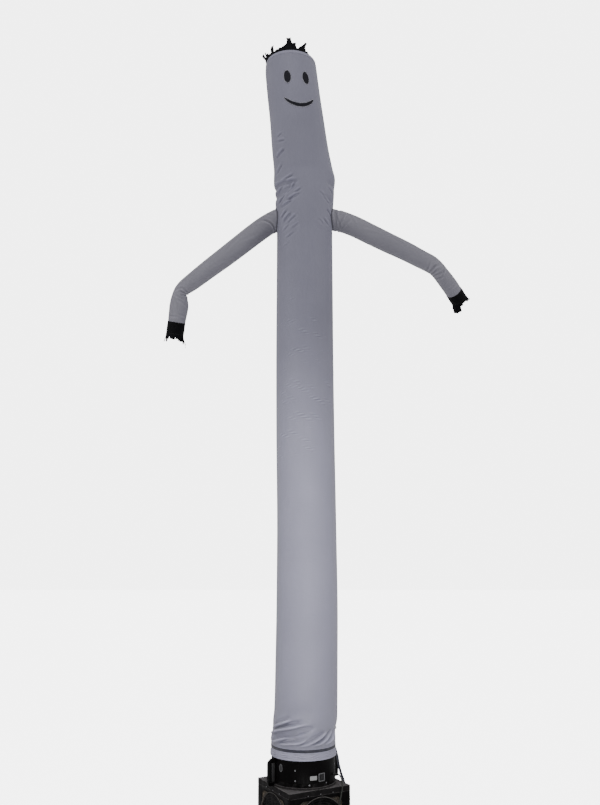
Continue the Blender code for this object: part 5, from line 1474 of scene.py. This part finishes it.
def makeHair():
    dice = random.Random(hair["seed"])
    points, faces = [], []
    azimuths = -90.0 + 360.0 * np.arange(hair["tapeSides"]) / hair["tapeSides"]
    low, high = dancer["head"] - hair["tape"], dancer["head"] + 0.001
    outer = [onTube(azimuths, np.full(hair["tapeSides"], h), -hair["inset"], fine=False)
        for h in (low, high)]
    inner = [onTube(azimuths, np.full(hair["tapeSides"], h), -hair["inset"] - 0.001, fine=False)
        for h in (low, high)]
    addTape(points, faces, outer, inner)
    rows = list(hair["strips"])
    back = hair["back"]
    azimuth = back["from"]
    while azimuth < back["to"]:
        rows.append((azimuth, back["width"], dice.uniform(back["low"], back["high"]),
            dice.uniform(-0.3, 0.3), dice.uniform(-0.15, 0.05), dice.uniform(-0.1, 0.1)))
        azimuth += back["step"]
    for azimuth, width, length, leanSide, leanOut, curl in rows:
        root = Vector(onTube(azimuth, dancer["head"] - 0.01, -hair["inset"] - 0.0005, fine=False))
        outward, widthWay = faceWays(azimuth)
        addStrip(points, faces, root, widthWay, upright, outward, stripRow(dice, width,
            length + 0.01, leanSide, leanOut, curl))
    mesh = meshFrom("hairStreamers", points, faces, sharpAngle=40.0)
    faceOutwards(mesh)
    return dress("hairStreamers", mesh, blackCloth, "black_nylon", "hair_fringe")


streamers = {
    "left": {"seed": 11, "strips": (  # angle, width, length, lean sideways, lean out, curl
        (5, 0.028, 0.026, 0.1, 0.05, 0.1), (25, 0.028, 0.036, -0.2, 0.1, 0.0),
        (48, 0.026, 0.03, 0.2, 0.1, 0.1), (66, 0.026, 0.044, 0.1, 0.25, 0.2),
        (80, 0.03, 0.066, -0.2, 0.3, 0.2), (92, 0.03, 0.086, 0.2, 0.34, 0.1),
        (102, 0.03, 0.06, 0.3, 0.22, 0.2), (116, 0.028, 0.04, 0.3, 0.1, 0.1),
        (134, 0.026, 0.018, 0.1, 0.1, 0.0), (154, 0.028, 0.01, 0.0, 0.0, 0.1),
        (176, 0.028, 0.008, 0.1, 0.0, 0.0), (196, 0.026, 0.022, -0.5, 0.0, 0.1),
        (214, 0.028, 0.032, 0.4, 0.05, 0.0), (230, 0.032, 0.056, -0.2, 0.05, 0.1),
        (246, 0.032, 0.052, 0.2, 0.1, 0.1), (262, 0.034, 0.06, 0.1, 0.1, 0.1),
        (280, 0.028, 0.044, -0.3, 0.1, 0.0), (300, 0.028, 0.034, 0.1, 0.05, 0.1),
        (325, 0.028, 0.03, 0.2, 0.05, 0.0), (345, 0.028, 0.034, -0.1, 0.05, 0.1))},
    "right": {"seed": 23, "strips": (
        (5, 0.028, 0.024, 0.1, 0.05, 0.1), (25, 0.028, 0.02, -0.2, 0.1, 0.0),
        (48, 0.028, 0.038, 0.2, 0.0, 0.1), (68, 0.032, 0.058, 0.1, -0.1, 0.2),
        (88, 0.032, 0.062, 0.0, -0.15, 0.2), (108, 0.03, 0.046, 0.0, -0.1, 0.1),
        (124, 0.028, 0.03, 0.4, 0.1, 0.3), (136, 0.024, 0.04, -0.5, 0.1, 0.4),
        (152, 0.028, 0.03, -0.4, 0.05, 0.1), (170, 0.028, 0.01, 0.1, 0.0, 0.0),
        (190, 0.028, 0.008, 0.0, 0.0, 0.0), (210, 0.028, 0.02, -0.3, 0.1, 0.1),
        (226, 0.032, 0.044, 0.3, 0.1, 0.2), (240, 0.034, 0.056, -0.2, 0.2, 0.3),
        (252, 0.034, 0.062, 0.1, 0.2, 0.3), (266, 0.034, 0.056, -0.1, 0.3, 0.3),
        (284, 0.028, 0.04, 0.3, 0.2, 0.1), (306, 0.028, 0.044, 0.2, 0.1, 0.0),
        (326, 0.028, 0.034, -0.1, 0.1, 0.1), (345, 0.028, 0.03, 0.1, 0.05, 0.1))},
    "tape": 0.018,
}


def makeStreamers(side, cuffRadius):
    end, forward, through, across = cuffFrame(side)
    length = sleeves[side]["cuffLength"]
    radius = cuffRadius - cuffs["wall"] - 0.0004
    dice = random.Random(streamers[side]["seed"])
    points, faces = [], []
    count = cuffs["sides"]

    def ring(run, size):
        return [end + forward * run + (through * math.cos(2 * math.pi * i / count) + across
            * math.sin(2 * math.pi * i / count)) * size for i in range(count)]
    outer = [ring(run, radius) for run in (length - streamers["tape"], length + 0.001)]
    inner = [ring(run, radius - 0.001) for run in (length - streamers["tape"], length + 0.001)]
    addTape(points, faces, outer, inner)
    for angle, width, reach, leanSide, leanOut, curl in streamers[side]["strips"]:
        turn = math.radians(angle)
        outward = through * math.cos(turn) + across * math.sin(turn)
        widthWay = forward.cross(outward)
        root = end + forward * (length - 0.006) + outward * (radius - 0.0006)
        down = (forward + raised(-0.22)).normalized()
        addStrip(points, faces, root, widthWay, down, outward, stripRow(dice, width, reach + 0.006,
            leanSide, leanOut, curl))
    mesh = meshFrom("cuffStreamers" + side.title(), points, faces, sharpAngle=40.0)
    faceOutwards(mesh)
    return dress("cuffStreamers" + side.title(), mesh, blackCloth, "black_nylon", "fringe_" + side)


print("streamers")
hairPiece = makeHair()
cuffStreamers = {side: makeStreamers(side, cuffParts[side][1]) for side in ("left", "right")}


# The face: two plain upright ovals and a curved band, sewn on as charcoal patches

face = {
    "azimuth": -82.0, "thick": 0.0011, "lift": 0.0004,
    "eyeTurn": 20.0, "eyeHeight": 5.925, "eyeHalfTurn": 8.0, "eyeHalfHeight": 0.058,
    "smileHeight": 5.745, "smileHalfTurn": 33.0, "smileSag": 0.075, "smileHalfWidth": 0.019,
}


def patchMesh(name, flatPoints, flatFaces, rim):
    # flatPoints are (azimuth, height); rim lists the outline's points in order
    azimuths = np.array([p[0] for p in flatPoints])
    heights = np.array([p[1] for p in flatPoints])
    edge = set(rim)
    rounding = np.array([0.35 if k in edge else 1.0 for k in range(len(flatPoints))])
    top = onTube(azimuths, heights, 0.0) + outwardAt(azimuths) * (face["lift"] + face["thick"]
        * rounding)[:, None]
    under = onTube(azimuths, heights, 0.0) + outwardAt(azimuths) * (face["lift"] - 0.0006)
    points = np.concatenate((top, under)).tolist()
    count = len(flatPoints)
    faces = [tuple(f) for f in flatFaces] + [tuple(count + k for k in reversed(f))
        for f in flatFaces]
    for k in range(len(rim)):
        a, b = rim[k], rim[(k + 1) % len(rim)]
        faces.append((b, a, count + a, count + b))
    mesh = meshFrom(name, points, faces)
    faceOutwards(mesh)
    mesh.shade_smooth()
    layer = mesh.uv_layers.new(name="UVMap")
    uv = np.array([(p[0] / 360.0 * dancer["girth"], p[1]) for p in flatPoints] * 2)
    corners = np.zeros(len(mesh.loops), dtype=np.int32)
    mesh.loops.foreach_get("vertex_index", corners)
    layer.data.foreach_set("uv", uv[corners].astype(np.float32).ravel())
    return mesh


def ovalPatch(middle):
    rings, count = 9, 60
    flat, faces = [(middle, face["eyeHeight"])], []
    for r in range(1, rings + 1):
        share = 1.0 - (1.0 - r / rings) ** 1.3
        for i in range(count):
            turn = 2 * math.pi * i / count
            flat.append((middle + face["eyeHalfTurn"] * share * math.cos(turn), face["eyeHeight"]
                + face["eyeHalfHeight"] * share * math.sin(turn)))
    for i in range(count):
        j = (i + 1) % count
        faces.append((0, 1 + i, 1 + j))
        for r in range(rings - 1):
            a, b = 1 + r * count, 1 + (r + 1) * count
            faces.append((a + i, b + i, b + j, a + j))
    rim = [1 + (rings - 1) * count + i for i in range(count)]
    return flat, faces, rim


def smilePatch():
    columns, rows = 72, 6
    flat, faces = [], []
    for k in range(columns + 1):
        u = -math.cos(math.pi * k / columns)
        middle = face["smileHeight"] - face["smileSag"] * (1.0 - u * u)
        half = face["smileHalfWidth"] * max(0.1, (1.0 - abs(u) ** 5) ** 0.5)
        for r in range(rows + 1):
            flat.append((face["azimuth"] + face["smileHalfTurn"] * u, middle + half
                * (2 * r / rows - 1)))
    step = rows + 1
    for k in range(columns):
        for r in range(rows):
            a = k * step + r
            faces.append((a, a + step, a + step + 1, a + 1))
    rim = ([k * step for k in range(columns + 1)] + [columns * step + r for r in range(1, rows + 1)]
        + [k * step + rows for k in range(columns - 1, -1, -1)] + [r for r in range(rows - 1, 0,
        -1)])
    return flat, faces, rim


def makeFace():
    pieces, runs = [], []
    for name, node, (flat, faces, rim) in (("eyePatchLeft", "eye_left",
            ovalPatch(face["azimuth"] - face["eyeTurn"])), ("eyePatchRight", "eye_right",
            ovalPatch(face["azimuth"] + face["eyeTurn"])), ("smilePatch", "smile", smilePatch())):
        piece = dress(name, patchMesh(name, flat, faces, rim), patchCloth, "charcoal_patch", node)
        pieces.append(piece)
        outline = rim + [rim[0]]
        azimuths = np.array([flat[k][0] for k in outline])
        heights = np.array([flat[k][1] for k in outline])
        runs.append(runOnTube(azimuths, heights, face["lift"] + 0.0006))
    edge = growPiece("patchEdgeStitches", seamSeed("patchEdges", runs), stitchTree,
        {"Pitch": 0.0017, "Stitch Length": 0.0066, "Thread Radius": 0.0008, "Across": True},
        paleThread)
    return pieces + [edge]


print("face patches")
facePieces = makeFace()


# Seams: stitch rows on the hems, the back seam, the sleeve roots and the cuffs

def sleeveRootRun(root, push):
    centre = root.mean(axis=0)
    ring = root + (root - centre) / np.linalg.norm(root - centre, axis=1, keepdims=True) * push
    axis = np.interp(ring[:, 2], sectionHeights, sectionColumns[0])
    azimuths = np.degrees(np.arctan2(ring[:, 1], ring[:, 0] - axis))
    run = runOnTube(azimuths, ring[:, 2], 0.0004)
    return run + [run[0]]


seamStitch = {"Pitch": 0.0046, "Stitch Length": 0.0032, "Thread Radius": 0.0005}


def makeSeams():
    backHeights = np.linspace(0.7, 6.15, 700)
    backRuns = []
    for side in (-1.1, 1.1):
        azimuths = np.full_like(backHeights, dancer["backSeam"] + side)
        backRuns.append(runOnTube(azimuths, backHeights, 0.0003))
    hemRuns = [ringRun(h, 0.0003) for h in (0.6945, 0.7245, 6.1435)]
    rootRuns = [sleeveRootRun(sleeveParts[side][1], 0.006) for side in ("left", "right")]
    stitches = growPiece("hemStitches", seamSeed("hemSeams", hemRuns + backRuns + rootRuns),
        stitchTree, seamStitch, greyThread)

    cuffRuns = []
    for side in ("left", "right"):
        end, forward, through, across = cuffFrame(side)
        radius = cuffParts[side][1]
        length = sleeves[side]["cuffLength"]
        for run in (-cuffs["lap"] + 0.004, length - cuffs["hem"]):
            circle = []
            for i in range(97):
                turn = 2 * math.pi * i / 96
                outward = through * math.cos(turn) + across * math.sin(turn)
                circle.append((end + forward * run + outward * (radius + 0.0016), outward))
            cuffRuns.append(circle)
    cuffStitches = growPiece("cuffStitches", seamSeed("cuffSeams", cuffRuns), stitchTree,
        seamStitch, blackThread)
    return stitches, cuffStitches


print("seams")
hemStitches, cuffStitches = makeSeams()


# The strap that cinches the tube on the drum, with its buckle and loose tail

strap = {
    "height": 0.743, "width": 0.02, "thick": 0.0014, "buckleAzimuth": 13.5, "sides": 144,
    "tail": ((0.22849, 0.05486, 0.756), (0.22849, 0.05486, 0.733), (0.2345, 0.0575, 0.7),
             (0.242, 0.0595, 0.67), (0.25, 0.06, 0.64), (0.256, 0.06, 0.6), (0.266, 0.06, 0.56),
             (0.278, 0.06, 0.52), (0.292, 0.061, 0.483),
             (0.2985, 0.0625, 0.45), (0.3, 0.064, 0.415)),
    "tailWidth": 0.019, "tailThick": 0.0024,
}


def makeStrap():
    azimuths = -90.0 + 360.0 * np.arange(strap["sides"]) / strap["sides"]
    half = strap["width"] / 2
    profile = ((-half, 0.0005), (-half + 0.0008, strap["thick"]), (0.0, strap["thick"] + 0.0003),
        (half - 0.0008, strap["thick"]), (half, 0.0005))
    rows = []
    for rise, lift in profile:
        heights = np.full(strap["sides"], strap["height"] + rise)
        ripple = 0.0005 * np.sin(np.radians(azimuths) * 9)
        rows.append(onTube(azimuths, heights + 0.4 * ripple, lift + 0.0012, fine=False))
    inner = np.stack([onTube(azimuths, np.full(strap["sides"], strap["height"] + s * half), 0.0002,
        fine=False) for s in (-1, 1)])
    along = [p[0] for p in profile]
    mesh = clothTube("cinchStrap", np.stack(rows), inner, along, dancer["girth"], 50.0)
    piece = dress("cinchStrap", mesh, webbing, "webbing", "strap")

    spaced, run = smoothThrough(strap["tail"], 60)
    forward = np.gradient(spaced, axis=0)
    forward /= np.linalg.norm(forward, axis=1, keepdims=True)
    outward = spaced * np.array([1.0, 1.0, 0.0])
    outward /= np.linalg.norm(outward, axis=1, keepdims=True)
    level = np.stack((-outward[:, 1], outward[:, 0], np.zeros(len(run))), axis=-1)
    flat = np.cross(level, forward)
    share = np.clip((run - 0.02) / 0.08, 0.0, 1.0)
    twist = (1.5 * share * share * (3 - 2 * share) + 0.12 * np.sin(run * 22))[:, None]
    wide = level * np.cos(twist) + flat * np.sin(twist)
    thin = flat * np.cos(twist) - level * np.sin(twist)
    corners = [(-1, -0.6), (-0.9, -1), (0.9, -1), (1, -0.6), (1, 0.6), (0.9, 1), (-0.9, 1),
        (-1, 0.6)]
    rings = np.stack([spaced + wide * (a * strap["tailWidth"] / 2) + thin * (b * strap["tailThick"]
        / 2) for a, b in corners], axis=1)
    count = len(corners)
    faces = closedFaces(len(run), count)
    tailMesh = meshFrom("strapTail", rings.reshape(-1, 3).tolist(), faces)
    faceOutwards(tailMesh)
    layer = tailMesh.uv_layers.new(name="UVMap")
    loops = np.zeros(len(tailMesh.loops), dtype=np.int32)
    tailMesh.loops.foreach_get("vertex_index", loops)
    uv = np.stack((np.repeat(run, count), np.tile([a * strap["tailWidth"] / 2 for a, _ in corners],
        len(run))), axis=-1)
    layer.data.foreach_set("uv", uv[loops].astype(np.float32).ravel())
    tailMesh.shade_smooth()
    tailMesh.set_sharp_from_angle(angle=math.radians(40.0))
    tail = dress("strapTail", tailMesh, webbing, "webbing", "strap_tail")

    outward, sideways = faceWays(strap["buckleAzimuth"])
    seat = Vector(onTube(strap["buckleAzimuth"], strap["height"], 0.004, fine=False).tolist())
    frameLoop = roundedLoop(rectangle(0.013, 0.0145), 0.003, 4)
    slots = [roundedLoop([(x - 0.0035, -0.0105), (x + 0.0035, -0.0105), (x + 0.0035, 0.0105),
        (x - 0.0035, 0.0105)], 0.0015, 3) for x in (-0.006, 0.006)]

    def bucklePlace(a, b, depth):
        return seat + sideways * a + raised(b) + outward * depth
    mesh = prism("strapBuckle", frameLoop, bucklePlace, 0.0028, holes=slots, bevel=0.0006)
    buckle = dress("strapBuckle", mesh, gripRubber, "dark_plastic")
    return piece, tail, buckle


print("strap")
strapPieces = makeStrap()


# The blower under the tube

blower = {
    "turn": 29.0, "side": 0.492, "top": 0.491, "sheet": 0.002, "skirt": 0.038, "pan": 0.006,
    "drumRadius": 0.231, "drumTop": 0.765, "ringRadius": 0.2375, "ringHeight": 0.013,
    "throat": 0.205, "faces": {"front": -61.0, "right": 29.0, "back": 119.0, "left": 209.0},
    "windowHalf": 0.178, "windowLow": 0.062, "windowHigh": 0.432, "windowCorner": 0.05,
    "guardHeight": 0.247, "guardRadius": 0.1955,
}
panelOut = blower["side"] / 2 - blower["sheet"] - 0.0003


def boxPlace(x, y, z):
    outward, sideways = faceWays(blower["turn"])
    return outward * x + sideways * y + raised(z)


def circleLoop(radius, count):
    return [Vector((radius * math.cos(2 * math.pi * i / count), radius * math.sin(2 * math.pi * i
        / count))) for i in range(count)]


def makeLid():
    half, top = blower["side"] / 2, blower["top"]
    square = rectangle(half, half)
    inset = half - blower["sheet"]
    insideSquare = rectangle(inset, inset)
    plate = prism("lidPlate", roundedLoop(square, 0.008, 5), lambda a, b,
        d: boxPlace(a, b, top - blower["sheet"] + d), blower["sheet"],
        holes=(circleLoop(blower["throat"], 72),), bevel=0.0008)
    skirt = prism("lidSkirt", roundedLoop(square, 0.008, 5), lambda a, b,
        d: boxPlace(a, b, top - blower["skirt"] + d), blower["skirt"] - 0.0008,
        holes=(roundedLoop(insideSquare, 0.0065, 5),), bevel=0.0006)
    # a rolled lip along the skirt's lower edge
    lip = []
    for azimuth in blower["faces"].values():
        outward, sideways = faceWays(azimuth)
        start = outward * (half + 0.0002) - sideways * (half - 0.01)
        stop = outward * (half + 0.0002) + sideways * (half - 0.01)
        rise = raised(top - blower["skirt"] + 0.0016)
        lip.append(tubeAlong("lidLip", [start + rise, (start + stop) / 2 + rise, stop + rise],
            0.0016, 8))
    dress("lidShell", joinMeshes("lidShell", [plate, skirt] + lip), lidBlack, "black_metal", "lid")


def windowLoop():
    half, low, high = blower["windowHalf"], blower["windowLow"], blower["windowHigh"]
    return roundedLoop([(-half, low), (half, low), (half, high), (-half, high)],
        blower["windowCorner"], 8)


def makePanels():
    low, high = blower["pan"] + 0.0003, blower["top"] - blower["sheet"] - 0.0003
    for side, azimuth in blower["faces"].items():
        outward, sideways = faceWays(azimuth)
        half = panelOut if side in ("front", "back") else panelOut - blower["sheet"] - 0.0003

        def place(a, b, depth, outward=outward, sideways=sideways):
            return outward * (panelOut - blower["sheet"] + depth) + sideways * a + raised(b)
        panel = prism("sidePanel", [(-half, low), (half, low), (half, high), (-half, high)], place,
            blower["sheet"], holes=(windowLoop(),), bevel=0.0007)
        # a folded bead frames the window
        bead = [outward * (panelOut + 0.0006) + sideways * p[0] + raised(p[1])
            for p in windowLoop()]
        bead.append(bead[0])
        frameBead = tubeAlong("windowBead", bead, 0.0022, 8, closedEnds=False)
        dress("panel" + side.title(), joinMeshes("panel" + side.title(), [panel, frameBead]),
            powderBlack, "black_metal", "side_panel_" + side)


def standUp(azimuth, depth):
    outward, sideways = faceWays(azimuth)
    turn = Matrix((sideways, upright, outward)).transposed().to_4x4()
    centre = outward * depth + raised(blower["guardHeight"])
    return Matrix.Translation(centre) @ turn


def makeGuards():
    guardTree = makeGuardTree(wirePaint)
    screenTree = makeScreenTree(dustyZinc)
    seedMesh = bpy.data.meshes.new("guardSeed")
    seedMesh.from_pydata([(0.0, 0.0, 0.0)], [], [])
    for side, azimuth in blower["faces"].items():
        guard = growPiece("guard" + side.title(), seedMesh.copy(), guardTree,
            {"Inner Radius": 0.028, "Ring Gap": 0.0167, "Rings": 11, "Spokes": 8,
            "Outer Radius": blower["guardRadius"], "Wire Radius": 0.0015}, wirePaint)
        rim = lathe("guardRim", [(blower["guardRadius"] + 0.0025 * math.cos(t),
            0.0025 * math.sin(t)) for t in np.linspace(0, 2 * math.pi, 11)[:-1]], 72)
        hub = lathe("guardHub", [(0.0, -0.001), (0.024, -0.001), (0.028, 0.0005), (0.024, 0.0025),
            (0.0, 0.003)], 40, closed=False)
        guard.data.transform(standUp(azimuth, panelOut + 0.0022))
        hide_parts("guard_" + side)
        rimPiece = linkPiece("guardRim" + side.title(), joinMeshes("guardRim", [rim, hub]),
            guardRimPaint)
        rimPiece.data.transform(standUp(azimuth, panelOut + 0.0022))

        # the screen shows in the corners of the window, outside the round guard
        step = 0.0085
        half = blower["windowHalf"] + 0.006
        low = blower["windowLow"] - blower["guardHeight"] - 0.006
        high = blower["windowHigh"] - blower["guardHeight"] + 0.006
        points, edges, seen = [], [], {}
        columns = int(2 * half / step)
        rows = int((high - low) / step)

        def spot(c, r):
            x, y = -half + (c + 0.5 * (r % 2)) * step, low + r * step
            if math.hypot(x, y) < blower["guardRadius"] - 0.004 or abs(x) > half:
                return None
            if (c, r) not in seen:
                seen[(c, r)] = len(points)
                points.append((x, y, 0.0))
            return seen[(c, r)]
        for r in range(rows):
            for c in range(columns):
                here = spot(c, r)
                for other in ((c, r + 1), (c + (1 if r % 2 else -1), r + 1)):
                    if here is None or other[0] < 0:
                        continue
                    there = spot(*other)
                    if there is not None:
                        edges.append((here, there))
        screen = bpy.data.meshes.new("screenSeed")
        screen.from_pydata(points, edges, [])
        piece = growPiece("inletScreen" + side.title(), screen, screenTree, {"Wire Radius": 0.0011},
            dustyZinc)
        piece.data.transform(standUp(azimuth, panelOut - blower["sheet"] - 0.0035))

        # a solid near-black sheet set behind the screen is painted shade standing in for the dark
        # inside of the box
        outward, sideways = faceWays(azimuth)
        edge = roundedLoop([(-half, low), (half, low), (half, high), (-half, high)], 0.012, 3)

        def shadeSheetPlace(a, b, depth, outward=outward, sideways=sideways):
            return (outward * (panelOut - blower["sheet"] - 0.0075 + depth) + sideways * a
                + raised(b + blower["guardHeight"]))
        dress("interiorShadeSheet" + side.title(), prism("interiorShadeSheet", edge, shadeSheetPlace, 0.0012),
            interiorShadeSheetPaint, "black_metal")


def makeDrum():
    radius, foot, top = blower["drumRadius"], blower["top"] + 0.0003, blower["drumTop"]
    sheet = blower["sheet"]
    profile = [(radius - sheet, foot), (radius, foot), (radius, foot + 0.04)]
    for height in (0.532, 0.7):
        profile += [(radius, height - 0.004), (radius + 0.0014, height - 0.0015),
            (radius + 0.0014, height + 0.0015), (radius, height + 0.004)]
    profile += [(radius, top - 0.006), (radius + 0.0012, top - 0.002), (radius, top),
        (radius - sheet, top)]
    dress("airDrum", lathe("airDrum", profile, 128), powderBlack, "black_metal", "drum")

    ring, high = blower["ringRadius"], blower["ringHeight"]
    ringProfile = [(radius + 0.0003, foot), (ring + 0.0004, foot), (ring + 0.001, foot + 0.002),
        (ring, foot + 0.0045), (ring - 0.0012, foot + 0.007), (ring, foot + 0.009),
        (ring + 0.0006, foot + high - 0.002), (ring - 0.001, foot + high),
        (radius + 0.0012, foot + high), (radius + 0.0003, foot + high - 0.001)]
    dress("drumRing", lathe("drumRing", ringProfile, 128), lidBlack, "black_metal", "drum_ring")


handle = {
    "reach": 0.2875, "width": 0.024, "grip": 0.008,
    "sleeve": (0.2615, 0.2885, 0.016), "sleeveFoot": 0.52, "ribs": 15, "ribPitch": 0.008,
}


def makeHandles():
    seat = blower["drumRadius"] + 0.0003
    overRing = blower["ringRadius"] + 0.003
    aboveRing = blower["top"] + blower["ringHeight"] + 0.0025
    aboveLid = blower["top"] + 0.0035
    reach, grip = handle["reach"], handle["grip"]
    outline = roundedLoop([(seat, aboveRing), (overRing, aboveRing), (overRing, aboveLid),
        (reach, aboveLid), (reach, 0.65), (0.262, 0.672), (seat, 0.672)], [0.001, 0.001, 0.001,
        0.01, 0.012, 0.01, 0.003], 5)
    gap = roundedLoop([(seat + 0.006, 0.516), (reach - grip, 0.516), (reach - grip, 0.636),
        (0.257, 0.646), (seat + 0.006, 0.646)], [0.004, 0.006, 0.006, 0.005, 0.004], 4)
    for side in ("left", "right"):
        outward, sideways = faceWays(blower["faces"][side])

        def place(a, b, depth, outward=outward, sideways=sideways):
            return outward * a + sideways * (depth - handle["width"] / 2) + raised(b)
        mesh = prism("handle" + side.title(), outline, place, handle["width"], holes=(gap,),
            bevel=0.0018, bevelSteps=3)
        dress("carryHandle" + side.title(), mesh, powderBlack, "black_metal", "handle_" + side)

        # a ribbed rubber sleeve on the upright grip
        inner, outer, wide = handle["sleeve"]
        section = roundedLoop([(inner, -wide), (outer, -wide), (outer, wide), (inner, wide)], 0.005,
            4)
        hole = roundedLoop([(reach - grip - 0.0002, -0.0122), (reach + 0.0002, -0.0122),
            (reach + 0.0002, 0.0122), (reach - grip - 0.0002, 0.0122)], 0.0012, 3)

        def ringPlace(a, b, depth, outward=outward, sideways=sideways, foot=0.0):
            return outward * a + sideways * b + raised(foot + depth)
        ribs = []
        for k in range(handle["ribs"]):
            low = handle["sleeveFoot"] + k * handle["ribPitch"]
            ribs.append(prism("gripRib", section, lambda a, b, d, low=low: ringPlace(a, b, d,
                foot=low), handle["ribPitch"] + 0.0001, holes=(hole,), bevel=0.0004))
        dress("gripSleeve" + side.title(), joinMeshes("gripSleeve", ribs), gripRubber,
            "dark_plastic")


def makeMotor():
    top = blower["top"] - blower["sheet"] - 0.0003 - 0.006 - 0.0003
    length, radius = 0.21, 0.085
    foot = top - length
    profile = [(0.0, foot), (0.03, foot), (0.034, foot + 0.004), (0.07, foot + 0.006),
        (0.079, foot + 0.012)]
    for k in range(9):
        height = foot + 0.03 + k * 0.0175
        profile += [(0.08, height - 0.004), (radius, height - 0.003), (radius, height + 0.003),
            (0.08, height + 0.004)]
    profile += [(0.079, top - 0.012), (0.066, top - 0.004), (0.05, top), (0.0, top)]
    dress("fanMotor", lathe("fanMotor", profile, 64, closed=False), motorPaint, "black_metal",
        "fan_motor")
    barTop = blower["top"] - blower["sheet"] - 0.0003
    outline = roundedLoop(rectangle(0.215, 0.02), 0.006, 4)
    slots = [roundedLoop([(x - 0.014, -0.005), (x + 0.014, -0.005), (x + 0.014, 0.005),
        (x - 0.014, 0.005)], 0.0048, 5) for x in (-0.165, 0.165)]
    bar = prism("motorBar", outline, lambda a, b, d: boxPlace(a, b, barTop - 0.006 + d), 0.006,
        holes=slots, bevel=0.001)
    dress("motorBar", bar, powderBlack, "black_metal", "motor_bar")
    half = panelOut
    pan = prism("basePan", roundedLoop(rectangle(half, half), 0.004, 4), lambda a, b,
        d: boxPlace(a, b, d), blower["pan"], bevel=0.0012)
    dress("basePan", pan, powderBlack, "black_metal", "bottom_pan")


fittings = {
    "drumBolts": ((-104.4, 0.617), (-104.4, 0.549), (-79.5, 0.522), (-46.5, 0.525),
                  (-17.4, 0.628), (90.0, 0.617), (90.0, 0.549), (-155.5, 0.516), (24.0, 0.516)),
    "lidBolts": (-0.1, 0.0, 0.1), "lidBoltHeight": 0.452,
}


def makeFittings():
    boltTree = makeBoltTree(zincBright)
    drumSpots = []
    for azimuth, height in fittings["drumBolts"]:
        outward, _ = faceWays(azimuth)
        drumSpots.append((outward * blower["drumRadius"] + raised(height), outward))
    bolts = growPiece("drumBolts", spotSeed("drumBoltSpots", drumSpots), boltTree,
        {"Head Radius": 0.0042, "Head Height": 0.0026, "Washer Radius": 0.0056}, zincBright)
    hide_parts(*["drum_bolt_%d" % (k + 1) for k in range(7)])

    smallSpots = []
    half = blower["side"] / 2
    for side, azimuth in blower["faces"].items():
        outward, sideways = faceWays(azimuth)
        for shift in fittings["lidBolts"]:
            place = outward * (half + 0.0001) + sideways * shift
            smallSpots.append((place + raised(fittings["lidBoltHeight"] + 0.01), outward))
    small = growPiece("lidBolts", spotSeed("lidBoltSpots", smallSpots), boltTree,
        {"Head Radius": 0.003, "Head Height": 0.0014, "Washer Radius": 0.0038}, zincBright)


def makeDrumPlates():
    def placeOn(azimuth, height):
        outward, sideways = faceWays(azimuth)
        seat = outward * (blower["drumRadius"] + 0.0003) + raised(height)
        return outward, sideways, seat

    def flatPlate(name, azimuth, height, outline, thick, material, node=None, holes=(),
            bevel=0.0005, lift=0.0):
        outward, sideways, seat = placeOn(azimuth, height)

        def place(a, b, depth):
            return seat + outward * (depth + lift) + sideways * a + raised(b)
        piece = linkPiece(name, prism(name, outline, place, thick, holes=holes, bevel=bevel),
            material)
        if node:
            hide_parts(node)
        return piece

    frameLoop = roundedLoop(rectangle(0.025, 0.027), 0.004, 4)
    opening = roundedLoop(rectangle(0.0195, 0.0215), 0.002, 3)
    flatPlate("switchBezel", -57.2, 0.568, frameLoop, 0.006, bezelPlastic,
        "switch_bezel", holes=(opening,), bevel=0.001)
    rocker = roundedLoop(rectangle(0.0185, 0.0205), 0.002, 3)
    flatPlate("switchPit", -57.2, 0.568, rocker, 0.002, pitPlastic)
    paddle = roundedLoop(rectangle(0.0085, 0.015), 0.002, 3)
    flatPlate("switchPaddle", -57.2, 0.568, paddle, 0.0035, pitPlastic, lift=0.002,
        bevel=0.0012)
    blank = roundedLoop(rectangle(0.026, 0.014), 0.006, 5)
    flatPlate("blankPlate", -72.5, 0.567, blank, 0.0015, platePlastic, "blank_plate")
    shape = [Vector((0.015 * math.cos(t), 0.026 * math.sin(t))) for t in np.linspace(0, 2 * math.pi,
        41)[:-1]]
    flatPlate("ovalPlate", -133.0, 0.6215, shape, 0.0015, smokedPlastic, "oval_plate")
    rim = [0.82 * p for p in shape]
    flatPlate("ovalPlateRim", -133.0, 0.6215, shape, 0.0021, bezelPlastic,
        holes=(rim,), bevel=0.0004)


print("blower")
makeLid()
makePanels()
makeGuards()
makeDrum()
makeHandles()
makeMotor()
makeFittings()
makeDrumPlates()


print("finishing")
